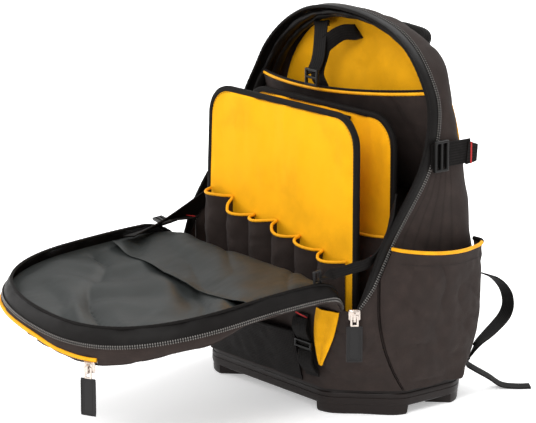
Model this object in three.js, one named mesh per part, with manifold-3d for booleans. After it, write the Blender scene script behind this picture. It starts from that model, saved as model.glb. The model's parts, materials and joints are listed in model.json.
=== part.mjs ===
// Tool backpack, standing open: a moulded tray with feet, a cloth body whose zip runs round the
// front, a front cover that is folded down level, two boards with tool pockets, an organiser at
// the top, side pockets, webbing, buckles and a pair of shoulder straps.
// Millimetres, +Z up, +X to the wearer's left of the open front, the front looking along -Y.
import * as THREE from 'three';
import { mergeVertices } from 'three/addons/utils/BufferGeometryUtils.js';
import Module from 'manifold-3d';

const wasm = await Module();
wasm.setup();

// Driving sizes of the body
const bagWidth = 360;
const bagHeight = 473;
const archRise = 173;
const archPower = 2.2;
const trayDepth = 225;
const trayCorner = 67;
const trayHeight = 32;
const footHeight = 11;
const trayWall = 3;
const rimStep = 2;
const hingeHeight = 148;
const frontSwell = 17;
const upperCorner = 42;
const rearCorner = 38;
const rearTight = 17;
const rearTightHeight = 425;
const rearTightSpread = 30;
const clothWall = 2;
const gap = 0.3;

// Zip and its metal
const tapeWidth = 14;
const tapeWall = 1.5;
const pipingRadius = 2.2;
const sliderWidth = 10;
const sliderLength = 14;
const pullWidth = 20;
const pullLength = 57;
const linkLength = 13;
const pullWall = 3;
const pocketZipEnd = 104;

// Open front cover
const coverLength = 327;
const coverStraight = 160;
const coverPower = 2.2;
const coverRise = 183;
const coverDroop = 28;
const coverRoll = 6.6;
const coverTwist = 0.095;
const coverTipLift = 3.5;
const coverDepth = 25;
const coverBelly = 13;
const hingeDepth = 15;
const hingeStep = 1.5;
const taperStart = 145;
const taperRun = 70;
const hingeDip = 20;
const hingeDipRun = 12;
const liningDrop = 5;
const liningSag = 13;
const tapeDrop = 12;
const tapeLean = 10;
const rimLift = 6;
const liningInset = 7.8;
const pocketDepth = 6;
const pocketStart = 60;
const pipingEnd = 100;
const pipingLift = 5;
const pocketRound = 36;
const innerPocketRun = 118;
const innerPocketSlant = 0.16;

// Boards inside
const boardWall = 5;
const boardWidth = 290;
const boardHeight = 349;
const boardCorner = 34;
const boardTaper = 34;
const boardTaperHeight = 90;
const boardLean = 14;
const frontBoardY = -85;
const rearBoardY = -26;
const boardShift = -10;
const toolPocketDepth = 22;
const rearPocketDepth = 12;

// Organiser at the top
const organiserDepth = 34;
const organiserInset = 12;
const organiserGap = 14;
const organiserMouth = 366;

// Side pockets
const sidePocketHeight = 200;
const sidePocketReach = 33;
const sidePocketRise = 11;

// Webbing
const wideWebbing = 30;
const webbing = 25;
const narrowWebbing = 20;
const webbingWall = 2;
const strapPadWidth = 66;
const strapPadWall = 12;
const handleRadius = 8;
const backPadWall = 11;
const backPadLow = 84;
const backPadHigh = 330;

// Worked out from the sizes above
const half = bagWidth / 2;
const trayFront = trayDepth / 2;
const clothStart = trayHeight + gap;
const shoulderHeight = bagHeight - archRise;
const frontReach = trayFront + frontSwell;
const floorTop = footHeight + trayWall;

const colour = {
  cloth: [0x3a302e, 0.85, 0],
  tray: [0x2d2624, 0.5, 0],
  yellow: [0xf7ab1c, 0.75, 0],
  lining: [0x5d5d5a, 0.45, 0],
  webbing: [0x2a2625, 0.8, 0],
  mesh: [0x1c1917, 0.8, 0],
  metal: [0xc9b6a5, 0.3, 1],
  rubber: [0x3d3b3a, 0.6, 0],
  plastic: [0x211f1f, 0.4, 0],
};

const pack = new THREE.Group();

const vec = (x, y, z) => new THREE.Vector3(x, y, z);
const lerp = (a, b, t) => a + (b - a) * t;
const clamp01 = (t) => Math.min(Math.max(t, 0), 1);
const ease = (t) => 1 - (1 - clamp01(t)) ** 2;
const signedPower = (v, p) => Math.sign(v) * Math.abs(v) ** p;
const steps = (count, from = 0, to = 1) =>
  Array.from({ length: count + 1 }, (_, i) => lerp(from, to, i / count));

// Smooth curve through the rows [at, value] of a table
function smooth(rows, at) {
  const last = rows.length - 1;
  if (at <= rows[0][0]) return rows[0][1];
  if (at >= rows[last][0]) return rows[last][1];
  let i = 0;
  while (at > rows[i + 1][0]) i++;
  const slope = (k) => {
    const a = rows[Math.max(k - 1, 0)];
    const b = rows[Math.min(k + 1, last)];
    return (b[1] - a[1]) / (b[0] - a[0]);
  };
  const run = rows[i + 1][0] - rows[i][0];
  const t = (at - rows[i][0]) / run;
  const t2 = t * t;
  const t3 = t2 * t;
  return (2 * t3 - 3 * t2 + 1) * rows[i][1] + (t3 - 2 * t2 + t) * run * slope(i)
    + (3 * t2 - 2 * t3) * rows[i + 1][1] + (t3 - t2) * run * slope(i + 1);
}

// A closed mesh from points and triangles, turned so that its faces point out
function solid(points, faces) {
  let volume = 0;
  for (const [a, b, c] of faces) {
    volume += points[a].dot(points[b].clone().cross(points[c]));
  }
  const geometry = new THREE.BufferGeometry();
  geometry.setAttribute('position',
    new THREE.Float32BufferAttribute(points.flatMap((p) => [p.x, p.y, p.z]), 3));
  geometry.setIndex(faces.flatMap(([a, b, c]) => (volume < 0 ? [a, c, b] : [a, b, c])));
  return geometry;
}

function add(name, geometry, look) {
  const [color, roughness, metalness] = colour[look];
  const mesh = new THREE.Mesh(geometry,
    new THREE.MeshStandardMaterial({ color, roughness, metalness }));
  mesh.name = name;
  pack.add(mesh);
  return mesh;
}

// A closed solid between two grids of points of one size, with its four edges closed
function between(outer, inner) {
  const rows = outer.length;
  const cols = outer[0].length;
  const shift = rows * cols;
  const id = (i, j) => i * cols + j;
  const faces = [];
  const quad = (a, b, c, d) => faces.push([a, b, c], [a, c, d]);
  for (let i = 0; i < rows - 1; i++) {
    for (let j = 0; j < cols - 1; j++) {
      quad(id(i, j), id(i + 1, j), id(i + 1, j + 1), id(i, j + 1));
      quad(shift + id(i, j), shift + id(i, j + 1), shift + id(i + 1, j + 1), shift + id(i + 1, j));
    }
  }
  const last = cols - 1;
  for (let i = 0; i < rows - 1; i++) {
    quad(id(i, 0), shift + id(i, 0), shift + id(i + 1, 0), id(i + 1, 0));
    quad(id(i, last), id(i + 1, last), shift + id(i + 1, last), shift + id(i, last));
  }
  for (let j = 0; j < last; j++) {
    quad(id(0, j), id(0, j + 1), shift + id(0, j + 1), shift + id(0, j));
    quad(id(rows - 1, j), shift + id(rows - 1, j), shift + id(rows - 1, j + 1), id(rows - 1, j + 1));
  }
  return solid([...outer.flat(), ...inner.flat()], faces);
}

// A cloth wall: its outer face is the grid, its inner face lies one even wall behind
function wallOver(grid, wall) {
  const rows = grid.length;
  const cols = grid[0].length;
  const within = (i, count) => Math.min(Math.max(i, 0), count - 1);
  const at = (i, j) => grid[within(i, rows)][within(j, cols)];
  const inner = grid.map((row, i) => row.map((point, j) => {
    const along = at(i + 1, j).clone().sub(at(i - 1, j));
    const across = at(i, j + 1).clone().sub(at(i, j - 1));
    return point.clone().addScaledVector(along.cross(across).normalize(), -wall);
  }));
  return between(grid, inner);
}

// A solid through a row of closed rings with as many points each
function loft(rings) {
  const n = rings[0].length;
  const faces = [];
  for (let i = 0; i < rings.length - 1; i++) {
    for (let j = 0; j < n; j++) {
      const a = i * n + j;
      const b = i * n + (j + 1) % n;
      faces.push([a, b, b + n], [a, b + n, a + n]);
    }
  }
  const end = (rings.length - 1) * n;
  for (let j = 1; j < n - 1; j++) {
    faces.push([0, j + 1, j], [end, end + j, end + j + 1]);
  }
  return solid(rings.flat(), faces);
}

// A round tube along points; up is any direction that the path never follows
function tube(points, radius, sides = 6, up = vec(0, 0, 1)) {
  const rings = points.map((p, i) => {
    const before = points[Math.max(i - 1, 0)];
    const after = points[Math.min(i + 1, points.length - 1)];
    const ahead = after.clone().sub(before).normalize();
    const side = ahead.clone().cross(up).normalize();
    const top = side.clone().cross(ahead);
    return steps(sides).slice(0, sides).map((t) => p.clone()
      .addScaledVector(side, radius * Math.cos(t * 2 * Math.PI))
      .addScaledVector(top, radius * Math.sin(t * 2 * Math.PI)));
  });
  return loft(rings);
}

// A flat strap along points, as wide as width along the direction that across gives
function strap(points, across, width, wall) {
  const rings = points.map((p, i) => {
    const before = points[Math.max(i - 1, 0)];
    const after = points[Math.min(i + 1, points.length - 1)];
    const ahead = after.clone().sub(before).normalize();
    const wide = (typeof across === 'function' ? across(i / (points.length - 1)) : across).clone();
    wide.addScaledVector(ahead, -wide.dot(ahead)).normalize();
    const thick = ahead.clone().cross(wide);
    const span = typeof width === 'function' ? width(i / (points.length - 1)) : width;
    return [[-1, -1], [1, -1], [1, 1], [-1, 1]].map(([w, t]) => p.clone()
      .addScaledVector(wide, w * span / 2)
      .addScaledVector(thick, t * wall / 2));
  });
  return loft(rings);
}

const curve = (points, count) => new THREE.CatmullRomCurve3(points, false, 'centripetal')
  .getPoints(count);

// Booleans on closed geometries
function toSolid(geometry) {
  const bare = geometry.clone();
  bare.deleteAttribute('normal');
  bare.deleteAttribute('uv');
  const merged = mergeVertices(bare, 1e-4);
  return new wasm.Manifold(new wasm.Mesh({
    numProp: 3,
    vertProperties: new Float32Array(merged.attributes.position.array),
    triVerts: new Uint32Array(merged.index.array),
  }));
}

function toGeometry(body) {
  const mesh = body.getMesh();
  const geometry = new THREE.BufferGeometry();
  geometry.setAttribute('position', new THREE.Float32BufferAttribute(mesh.vertProperties, 3));
  geometry.setIndex(Array.from(mesh.triVerts));
  return geometry;
}

// A box by its corners
function block(low, high) {
  const size = high.clone().sub(low);
  const middle = low.clone().add(high).multiplyScalar(0.5);
  return new THREE.BoxGeometry(size.x, size.y, size.z).translate(middle.x, middle.y, middle.z);
}

// Body outline: how the section changes with height
const swellShare = (z) => ease((z - trayHeight) / (hingeHeight - trayHeight));
const frontY = (z) => -(trayFront + frontSwell * swellShare(z));
const cornerRun = (z) => lerp(trayCorner, upperCorner, swellShare(z));
const seamY = (z) => frontY(z) + cornerRun(z);

// Lean of the back: share of the height, share of the tray's half depth
const backLean = [[0.068, 1], [0.254, 0.871], [0.444, 0.729], [0.698, 0.587], [1, 0.551]];
const backY = (z) => trayFront * smooth(backLean, z / bagHeight);
const rearRun = (z) => lerp(trayCorner, rearCorner, swellShare(z))
  - rearTight * Math.exp(-(((z - rearTightHeight) / rearTightSpread) ** 2));

// Free edge of the open zip: share of the height, share of the front's reach
const zipLean = [[0.294, 1], [0.359, 0.846], [0.478, 0.585], [0.592, 0.277], [0.651, 0.154],
  [0.784, -0.015], [0.857, -0.04], [0.958, -0.06], [1, -0.01]];
const zipY = (z) => -frontReach * smooth(zipLean, z / bagHeight);
const zipMeetsSeam = (() => {
  let z = hingeHeight;
  while (zipY(z) < seamY(z)) z += 0.5;
  return z;
})();
const tapeRun = tapeWidth * 1.15;
const clothMeetsSeam = (() => {
  let z = trayHeight;
  while (zipY(z) + tapeRun < seamY(z)) z += 0.5;
  return z;
})();
const zipEndShare = 0.42;
const zipEndHeight = hingeHeight - 9;

// A corner of the section, from the side wall at 0 to the front or back wall at 1:
// a chamfer at the tray that turns round further up
function cornerAt(z, share, wallY, run) {
  const outward = Math.sign(wallY);
  const round = 0.2 + 0.8 * swellShare(z);
  const inSide = lerp(share, share * share, round) * run;
  const inEnd = lerp(1 - share, (1 - share) ** 2, round) * run;
  return [inSide, wallY - outward * inEnd];
}

// The outline seen from the front, by a path share: 0 at the right foot, 1 at the left foot
function archPoint(angle) {
  const c = Math.cos(angle);
  const s = Math.sin(angle);
  const x = half * signedPower(c, 2 / archPower);
  const z = shoulderHeight + archRise * signedPower(s, 2 / archPower);
  const nx = signedPower(x / half, archPower - 1) / half;
  const nz = ((z - shoulderHeight) / archRise) ** (archPower - 1) / archRise;
  const length = Math.hypot(nx, nz);
  return { x, z, nx: nx / length, nz: nz / length };
}

const archSteps = 20;
const wallLevels = [clothStart, 60, 95, 130, clothMeetsSeam, 215, 245, 275];
function outlineRows() {
  const rise = wallLevels.map((z) => ({ x: half, z, nx: 1, nz: 0 }));
  const over = steps(archSteps, 0, Math.PI).map(archPoint);
  const fall = [...wallLevels].reverse().map((z) => ({ x: -half, z, nx: -1, nz: 0 }));
  return [...rise, ...over, ...fall];
}

const inward = (row, inset, y) => vec(row.x - inset * row.nx, y, row.z - inset * row.nz);
const seamGap = clothWall * 0.75 + gap;
const clothFront = (z) => Math.max(seamY(z), zipY(z) + tapeRun) + seamGap;

function sideGusset() {
  const grid = outlineRows().map((row) => {
    const start = clothFront(row.z);
    const end = backY(row.z) - rearRun(row.z);
    const flat = steps(4).map((t) => inward(row, 0, lerp(start, end, t)));
    const turn = steps(4).slice(1).map((t) => {
      const [inset, y] = cornerAt(row.z, t, backY(row.z), rearRun(row.z));
      return inward(row, inset, y);
    });
    return [...flat, ...turn];
  });
  return wallOver(grid.map((row) => row.reverse()), clothWall);
}

// Half width of the back panel at a height, inside the rounded rear edge
function backHalf(z) {
  const top = bagHeight - rearCorner;
  const inset = rearRun(z) + seamGap;
  if (z <= shoulderHeight) return half - inset;
  const share = clamp01((z - shoulderHeight) / (top - shoulderHeight));
  return (half - inset) * (1 - share ** archPower) ** (1 / archPower);
}

// The back panel follows the gusset's rear edge row by row, up to the crown
function backPanel() {
  const crownHalf = 8;
  const climb = outlineRows().slice(0, wallLevels.length + archSteps / 2 + 1);
  const grid = climb.map((row) => {
    const edge = inward(row, rearRun(row.z) + seamGap, backY(row.z));
    const wide = Math.max(edge.x, crownHalf);
    return steps(6, -wide, wide).map((x) => vec(x, edge.y, edge.z));
  });
  return wallOver(grid, clothWall);
}

// Lower front: from the right seam round the front to the left seam, up to the hinge
function lowerFrontTop(share) {
  if (share >= zipEndShare) return lerp(zipEndHeight, hingeHeight, (share - zipEndShare) / (1 - zipEndShare));
  return lerp(clothMeetsSeam, zipEndHeight, (share / zipEndShare) ** 0.8);
}

function frontPath(z, share) {
  const [inset, y] = cornerAt(z, share, frontY(z), cornerRun(z));
  return vec(half - inset, y, z);
}

const cornerShares = [0, 0.14, 0.28, 0.42, 0.56, 0.7, 0.85, 1];
function lowerFront() {
  const levels = steps(6);
  const grid = levels.map((up) => {
    const right = cornerShares.map((share) => {
      const z = lerp(clothStart, lowerFrontTop(share), up);
      return frontPath(z, share);
    });
    const left = [...right].reverse().map((p) => vec(-p.x, p.y, p.z));
    const z = lerp(clothStart, hingeHeight, up);
    const middle = [0.5, 0, -0.5].map((t) => vec(t * (half - cornerRun(z)), frontY(z), z));
    return [...right, ...middle, ...left];
  });
  return wallOver(grid, clothWall);
}

// How far forward the lower front stands at a place on it
function frontSurface(x, z) {
  const flat = half - cornerRun(z);
  if (Math.abs(x) <= flat) return frontY(z);
  let best = frontPath(z, 1);
  for (const share of steps(40)) {
    const p = frontPath(z, share);
    if (Math.abs(p.x - Math.abs(x)) < Math.abs(best.x - Math.abs(x))) best = p;
  }
  return best.y;
}

// The zip tape that stands out past the cloth, and its free edge with a binding
function zipEdge() {
  const low = [0.36, 0.28, 0.14].map((share) => {
    const z = lerp(zipEndHeight, zipMeetsSeam, (1 - share / zipEndShare) ** 1.2);
    return { cloth: frontPath(lowerFrontTop(share) + gap * 2, share), free: frontPath(z, share) };
  });
  const high = outlineRows()
    .filter((row) => row.z > clothMeetsSeam && (row.z > zipMeetsSeam || row.z > hingeHeight))
    .filter((row) => zipY(row.z) > seamY(row.z))
    .map((row) => ({
      cloth: inward(row, 0, clothFront(row.z) - gap * 5),
      free: inward(row, 0, zipY(row.z)),
    }));
  const mirrored = [...low].reverse().map(({ cloth, free }) => ({
    cloth: vec(-cloth.x, cloth.y, cloth.z),
    free: vec(-free.x, free.y, free.z),
  }));
  return [...low, ...high, ...mirrored];
}

function zipTape() {
  return wallOver(zipEdge().map(({ cloth, free }) => [cloth, free]), tapeWall);
}

// Open cover, in its own run from the hinge (0) to its tip
function coverHalf(run) {
  const near = half - 14 * (1 - ease(run / 45));
  if (run <= coverStraight) return near;
  const share = clamp01((run - coverStraight) / (coverLength - coverStraight));
  return half * (1 - share ** coverPower) ** (1 / coverPower);
}
const coverY = (run) => -(frontReach + run);
const coverTop = (x, run) => coverRise - coverDroop * (run / coverLength) ** 2 - coverRoll * x / bagWidth
  + (coverTipLift - coverTwist * x) * (run / coverLength) ** 6;
const rimDip = (run) => hingeDip * Math.exp(-Math.max(run, 0) / hingeDipRun);
const coverBase = (x, run) => coverTop(x, run) - rimDip(run);
const coverRim = (x, run) => coverBase(x, run) + rimLift * clamp01(run / 40);

// The cover tapers towards the hinge, and hangs deepest at the right of its tip: [x, more depth]
const tipDepths = [[-120, -4], [-60, -4], [0, -1.5], [28, 2], [75, 8], [100, 11], [130, 9], [180, 0]];
const softStep = (t) => clamp01(t) ** 2 * (3 - 2 * clamp01(t));
function coverFloor(x, run) {
  const wide = Math.max(coverHalf(run), Math.abs(x), 1);
  const belly = coverBelly * (1 - (x / wide) ** 2) * clamp01(run / 40) * clamp01((coverLength - run) / 60);
  const side = lerp(hingeDepth, coverDepth, softStep((run - taperStart) / taperRun));
  const tip = smooth(tipDepths, x) * (run / coverLength) ** 4;
  return coverTop(x, run) - rimDip(run) * 1.15 - side - belly - tip;
}

function coverOutline(inset) {
  const straight = [0, 8, 20, 45, 85, 125].map((run) => [coverHalf(run) - inset, run]);
  const tip = steps(20, 0, Math.PI).map((angle) => [
    (half - inset) * signedPower(Math.cos(angle), 2 / coverPower),
    coverStraight + (coverLength - coverStraight - inset) * Math.sin(angle) ** (2 / coverPower),
  ]);
  const back = [...straight].reverse().map(([x, run]) => [-x, run]);
  return [...straight, ...tip, ...back].map(([x, run]) => [x, Math.max(run, gap)]);
}

function coverGusset() {
  const grid = coverOutline(0).map(([x, run]) => steps(2).map((t) =>
    vec(x, coverY(run), lerp(coverBase(x, run) - tapeDrop, coverFloor(x, run), t))));
  return wallOver(grid, clothWall);
}

// A sheet across the cover, its edge an inset away from the outline
function acrossCover(height, cols, inset, from = gap, to = coverLength) {
  const edge = coverOutline(inset).filter(([x, run]) => x > 12 && run >= from && run <= to);
  return edge.map(([wide, run]) => steps(cols, -wide, wide)
    .map((x) => vec(x, coverY(run), height(x, run, wide))));
}

const insideGusset = clothWall + gap * 4;
function coverPanel() {
  const grid = acrossCover(coverFloor, 8, insideGusset);
  for (const point of grid[0]) point.y -= hingeStep;
  return wallOver(grid, -clothWall);
}

// The pocket on the cover's outer face, which looks down here
function coverPocket() {
  const height = (x, run, wide) => {
    const crown = clamp01(1 - (x / wide) ** 2) ** 0.8
      * Math.sqrt(clamp01((run - pocketStart) / pocketRound))
      * clamp01((coverLength - run) / (pocketRound * 2)) ** 0.8;
    return coverFloor(x, run) - gap - clothWall - pocketDepth * crown;
  };
  return wallOver(acrossCover(height, 10, 1, pocketStart), -clothWall);
}

const liningHeight = (x, run) => {
  const wide = coverHalf(run) - insideGusset;
  const across = clamp01(1 - (x / wide) ** 2);
  const along = Math.sin(Math.PI * clamp01((run + 30) / (coverLength + 30)));
  const ripple = 2.2 * Math.sin(run / 19 + x / 43) * across;
  return coverTop(x, run) - rimDip(run) * 1.15 - liningDrop
    - liningSag * across * along + ripple * along;
};

function coverLining() {
  return wallOver(acrossCover(liningHeight, 10, liningInset), 1);
}

// The loose inner pocket: it lies on the lining and swells where it meets the hinge
function innerPocket() {
  const side = liningInset + 10;
  const grid = steps(6, 2, innerPocketRun).map((run) => {
    const wide = coverHalf(run) - side;
    return steps(10, -wide, wide).map((x) => {
      const slant = run * (1 + innerPocketSlant * x / half);
      const across = clamp01(1 - (x / wide) ** 2);
      const lift = 2.4 + 2.5 * Math.exp(-slant / 20) + across * (3 + 8 * Math.cos(slant / innerPocketRun * Math.PI / 2));
      return vec(x, coverY(slant), liningHeight(x, slant) + lift);
    });
  });
  return wallOver(grid, 1);
}

// The cover's half of the zip tape leans in above the gusset
function coverTape() {
  const low = coverOutline(0.4);
  const high = coverOutline(tapeLean);
  const grid = low.map(([x, run], i) => {
    const [innerX, innerRun] = high[i];
    return [
      vec(x, coverY(run), coverBase(x, run) - tapeDrop + gap * 4),
      vec(innerX, coverY(innerRun), coverRim(innerX, innerRun)),
    ];
  });
  return wallOver(grid.map((row) => row.reverse()), tapeWall);
}

// Piping where the gusset meets the pocket, round the tip only
function coverPiping() {
  const path = coverOutline(-pipingRadius - gap)
    .filter(([x, run]) => run > coverLength * 0.72 && x < pipingEnd)
    .map(([x, run]) => vec(x, coverY(run), coverFloor(x, run) + pipingRadius + pipingLift * clamp01((x + 60) / 160)));
  return tube(path, pipingRadius);
}

// Tray: a shallow tub with a stepped rim and a foot under each corner
function trayOutline(inset, z) {
  const x = half - inset;
  const y = trayFront - inset;
  const run = trayCorner - inset * 0.586;
  const round = 14;
  const corner = (sx, sy) => {
    const turn = (px, py, ax, ay, bx, by) => steps(2).map((t) => vec(
      sx * (px + round * ((1 - t) ** 2 * ax + t * t * bx)),
      sy * (py + round * ((1 - t) ** 2 * ay + t * t * by)), z));
    const points = [
      ...turn(x, y - run, 0, -1, -0.7071, 0.7071),
      ...turn(x - run, y, 0.7071, -0.7071, -1, 0),
    ];
    return sx * sy > 0 ? points : points.reverse();
  };
  return [...corner(1, 1), ...corner(-1, 1), ...corner(-1, -1), ...corner(1, -1)];
}

function tray() {
  const outer = toSolid(loft([
    trayOutline(1.5, footHeight), trayOutline(0, footHeight + 3),
    trayOutline(0, trayHeight - 5), trayOutline(rimStep, trayHeight - 4.5),
    trayOutline(rimStep, trayHeight),
  ]));
  const hollow = toSolid(loft([
    trayOutline(rimStep + trayWall, floorTop), trayOutline(rimStep + trayWall, trayHeight + 1),
  ]));
  const foot = toSolid(loft([
    trayOutline(4, 0), trayOutline(1, 3), trayOutline(0.5, footHeight + 4),
  ]));
  const footLength = 34;
  const reach = 400;
  const across = half - trayCorner - footLength * 0.5;
  const along = trayFront - trayCorner - footLength * 0.35;
  const middleX = toSolid(block(vec(-across, -reach, -1), vec(across, reach, footHeight)));
  const middleY = toSolid(block(vec(-reach, -along, -1), vec(reach, along, footHeight)));
  const clear = toSolid(loft([trayOutline(42, -1), trayOutline(42, footHeight)]));
  const feet = foot.subtract(middleX).subtract(middleY).subtract(clear);
  return toGeometry(outer.add(feet).subtract(hollow));
}

// A board with round top corners, standing on the tray's floor
function boardShape(width, height, radius) {
  const shape = new THREE.Shape();
  const leftAt = (up) => -width / 2 + boardLean * up / height;
  shape.moveTo(leftAt(0) + boardTaper, 0);
  shape.lineTo(width / 2 - boardTaper, 0);
  shape.lineTo(width / 2, boardTaperHeight);
  shape.lineTo(width / 2, height - radius);
  shape.absarc(width / 2 - radius, height - radius, radius, 0, Math.PI / 2);
  shape.absarc(leftAt(height) + radius, height - radius, radius, Math.PI / 2, Math.PI);
  shape.lineTo(leftAt(boardTaperHeight), boardTaperHeight);
  return shape;
}

function board(y, width, height) {
  const geometry = new THREE.ExtrudeGeometry(boardShape(width, height, boardCorner),
    { depth: boardWall, bevelEnabled: false, curveSegments: 6 });
  geometry.rotateX(Math.PI / 2);
  return geometry.translate(boardShift, y + boardWall / 2, floorTop + gap);
}

function boardBinding(y, width, height) {
  const points = boardShape(width, height, boardCorner).getPoints(6)
    .filter((p) => p.y >= boardTaperHeight && p.y > 0);
  const radius = boardWall / 2 + 1;
  const path = points.map((p) => {
    const wide = Math.sign(p.x) * (radius + gap);
    return vec(p.x + boardShift + wide, y, floorTop + gap + p.y + (p.y > height - boardCorner ? radius : 0));
  });
  return tube(path, radius, 6, vec(0, 1, 0));
}

// Tool pockets: a row of slots that swell between their seams
function slotRow(y, left, right, slots, bottom, top, depth) {
  const perSlot = 4;
  const grid = steps(3).map((up) => steps(slots * perSlot).map((t) => {
    const bulge = Math.abs(Math.sin(t * slots * Math.PI)) ** 0.7;
    const x = lerp(left, right, t);
    const z = lerp(bottom, top(t), up);
    return vec(x, y - clothWall - gap - depth * bulge * (0.3 + 0.7 * Math.sin(up * Math.PI * 0.6)), z);
  }));
  return { wall: wallOver(grid.map((row) => row.reverse()), clothWall), edge: grid[grid.length - 1] };
}

// A place on the side wall or its rear corner, with the way out from it
function sidePlace(z, y) {
  const start = backY(z) - rearRun(z);
  if (y <= start) return { x: half, y, nx: 1, ny: 0 };
  const share = clamp01((y - start) / (rearRun(z) * 1.4));
  const [inset, at] = cornerAt(z, share, backY(z), rearRun(z));
  const [insetAfter, atAfter] = cornerAt(z, share + 0.02, backY(z), rearRun(z));
  const run = Math.hypot(atAfter - at, insetAfter - inset);
  return { x: half - inset, y: at, nx: (atAfter - at) / run, ny: (insetAfter - inset) / run };
}

// Side pockets: the wall stands off the body and swells towards its mouth
const pocketTop = (t) => sidePocketHeight + sidePocketRise * (1 - t) ** 2;
const pocketShares = [0, 0.06, 0.16, 0.3, 0.45, 0.6, 0.74, 0.86, 0.95, 1];
function sidePocket(side) {
  const grid = steps(5).map((up) => pocketShares.map((t) => {
    const z = lerp(clothStart, pocketTop(t), up);
    const rear = backY(z) - rearRun(z) * lerp(0.85, 0.3, up);
    const start = clothFront(z) + 1;
    const place = sidePlace(z, lerp(start, rear, t));
    const swell = Math.sin(Math.PI * clamp01(t)) ** 0.6 * lerp(2, sidePocketReach, up ** 0.8);
    const out = clothWall + gap * 2 + swell;
    return vec(side * (place.x + place.nx * out), place.y + place.ny * out, z);
  }));
  const wall = wallOver(grid, side * clothWall);
  return { wall, edge: grid[grid.length - 1] };
}

// Top organiser: an arched panel before the back, and a pocket whose mouth stands forward
const organiserBottom = bagHeight - archRise - 50;
function archHalf(z, inset) {
  const share = clamp01((z - shoulderHeight) / (archRise - inset));
  return (half - inset) * (1 - share ** archPower) ** (1 / archPower);
}
const organiserBackY = (z) => backY(z) - organiserGap;

function organiserBack() {
  const top = bagHeight - organiserInset - gap;
  const grid = [organiserBottom, 275, ...steps(6, shoulderHeight, top - 2), top].map((z) => {
    const wide = Math.max(archHalf(z, organiserInset), 30);
    return steps(4, -wide, wide).map((x) => vec(x, organiserBackY(z), z));
  });
  return wallOver(grid, clothWall);
}

// Height and reach of the organiser pocket's mouth, from its left end to its right end
const mouthHeight = (t) => lerp(organiserMouth, organiserMouth + 20, t) - 24 * t * (1 - t);
const mouthY = (t) => 15 - organiserDepth * Math.sin(Math.PI * t) ** 0.8;
function organiserPocket() {
  const grid = steps(4).map((up) => steps(12).map((t) => {
    const z = lerp(organiserBottom, mouthHeight(t), up);
    const out = up ** 0.6 * Math.min(1, 0.35 + 0.65 * up);
    const wide = lerp(archHalf(z, organiserInset), archHalf(z, clothWall + gap * 4), out);
    const y = lerp(organiserBackY(z) - clothWall - gap, mouthY(t), out);
    return vec(lerp(-wide, wide, t), y, z);
  }));
  return { wall: wallOver(grid, clothWall), edge: grid[grid.length - 1] };
}

// A flat frame with a bar across it, as a ladder lock has
function ladderLock(width, height, wall) {
  const edge = 3;
  const bar = 1.5;
  const slab = (x0, x1, y, thick) => toSolid(block(vec(x0, -y, -thick / 2), vec(x1, y, thick / 2)));
  let frame = slab(-width / 2, width / 2, height / 2, wall);
  for (const side of [-1, 1]) {
    const [low, high] = [side * bar, side * (width / 2 - edge)].sort((a, b) => a - b);
    frame = frame.subtract(slab(low, high, height / 2 - edge, wall * 2));
  }
  return toGeometry(frame);
}

// Turn a flat piece in XY to stand with its own x, y and z along three directions
function place(geometry, along, up, out, at) {
  const turn = new THREE.Matrix4().makeBasis(along, up, out).setPosition(at);
  return geometry.applyMatrix4(turn);
}

const alongX = vec(1, 0, 0);
const alongY = vec(0, 1, 0);
const alongZ = vec(0, 0, 1);

function addCover() {
  add('cover_gusset', coverGusset(), 'cloth');
  add('cover_panel', coverPanel(), 'cloth');
  add('cover_pocket', coverPocket(), 'cloth');
  add('cover_zip_tape', coverTape(), 'webbing');
  add('cover_piping', coverPiping(), 'yellow');
  add('cover_lining', coverLining(), 'lining');
  add('cover_inner_pocket', innerPocket(), 'lining');
}

function addBoards() {
  const boards = [
    { name: 'front', y: frontBoardY, height: boardHeight, slots: 6, left: -142, right: 124,
      bottom: 84, top: (t) => lerp(231, 188, t), depth: toolPocketDepth },
    { name: 'rear', y: rearBoardY, height: boardHeight - 8, slots: 4, left: -141, right: 126,
      bottom: 70, top: () => 210, depth: rearPocketDepth },
  ];
  for (const { name, y, height, slots, left, right, bottom, top, depth } of boards) {
    add(`${name}_board`, board(y, boardWidth, height), 'yellow');
    add(`${name}_board_binding`, boardBinding(y, boardWidth, height), 'webbing');
    const face = y - boardWall / 2 - gap * 2;
    const row = slotRow(face, left, right, slots, bottom, top, depth);
    add(`${name}_tool_pockets`, row.wall, 'cloth');
    const lift = 1.5 + gap;
    const path = row.edge.map((p) => vec(p.x, p.y + clothWall / 2, p.z + lift));
    add(`${name}_pocket_piping`, tube(path, 1.5, 5), 'yellow');
  }
  const loopTop = floorTop + boardHeight - 12;
  for (const [name, x] of [['left', -66], ['right', 52]]) {
    const y = rearBoardY - boardWall / 2 - gap - webbingWall / 2;
    const path = [vec(x, y, loopTop), vec(x, y - 4, loopTop - 12), vec(x + 2, y - 1, loopTop - 34)];
    add(`rear_board_loop_${name}`, strap(curve(path, 4), alongX, narrowWebbing, webbingWall), 'webbing');
  }
}

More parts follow.
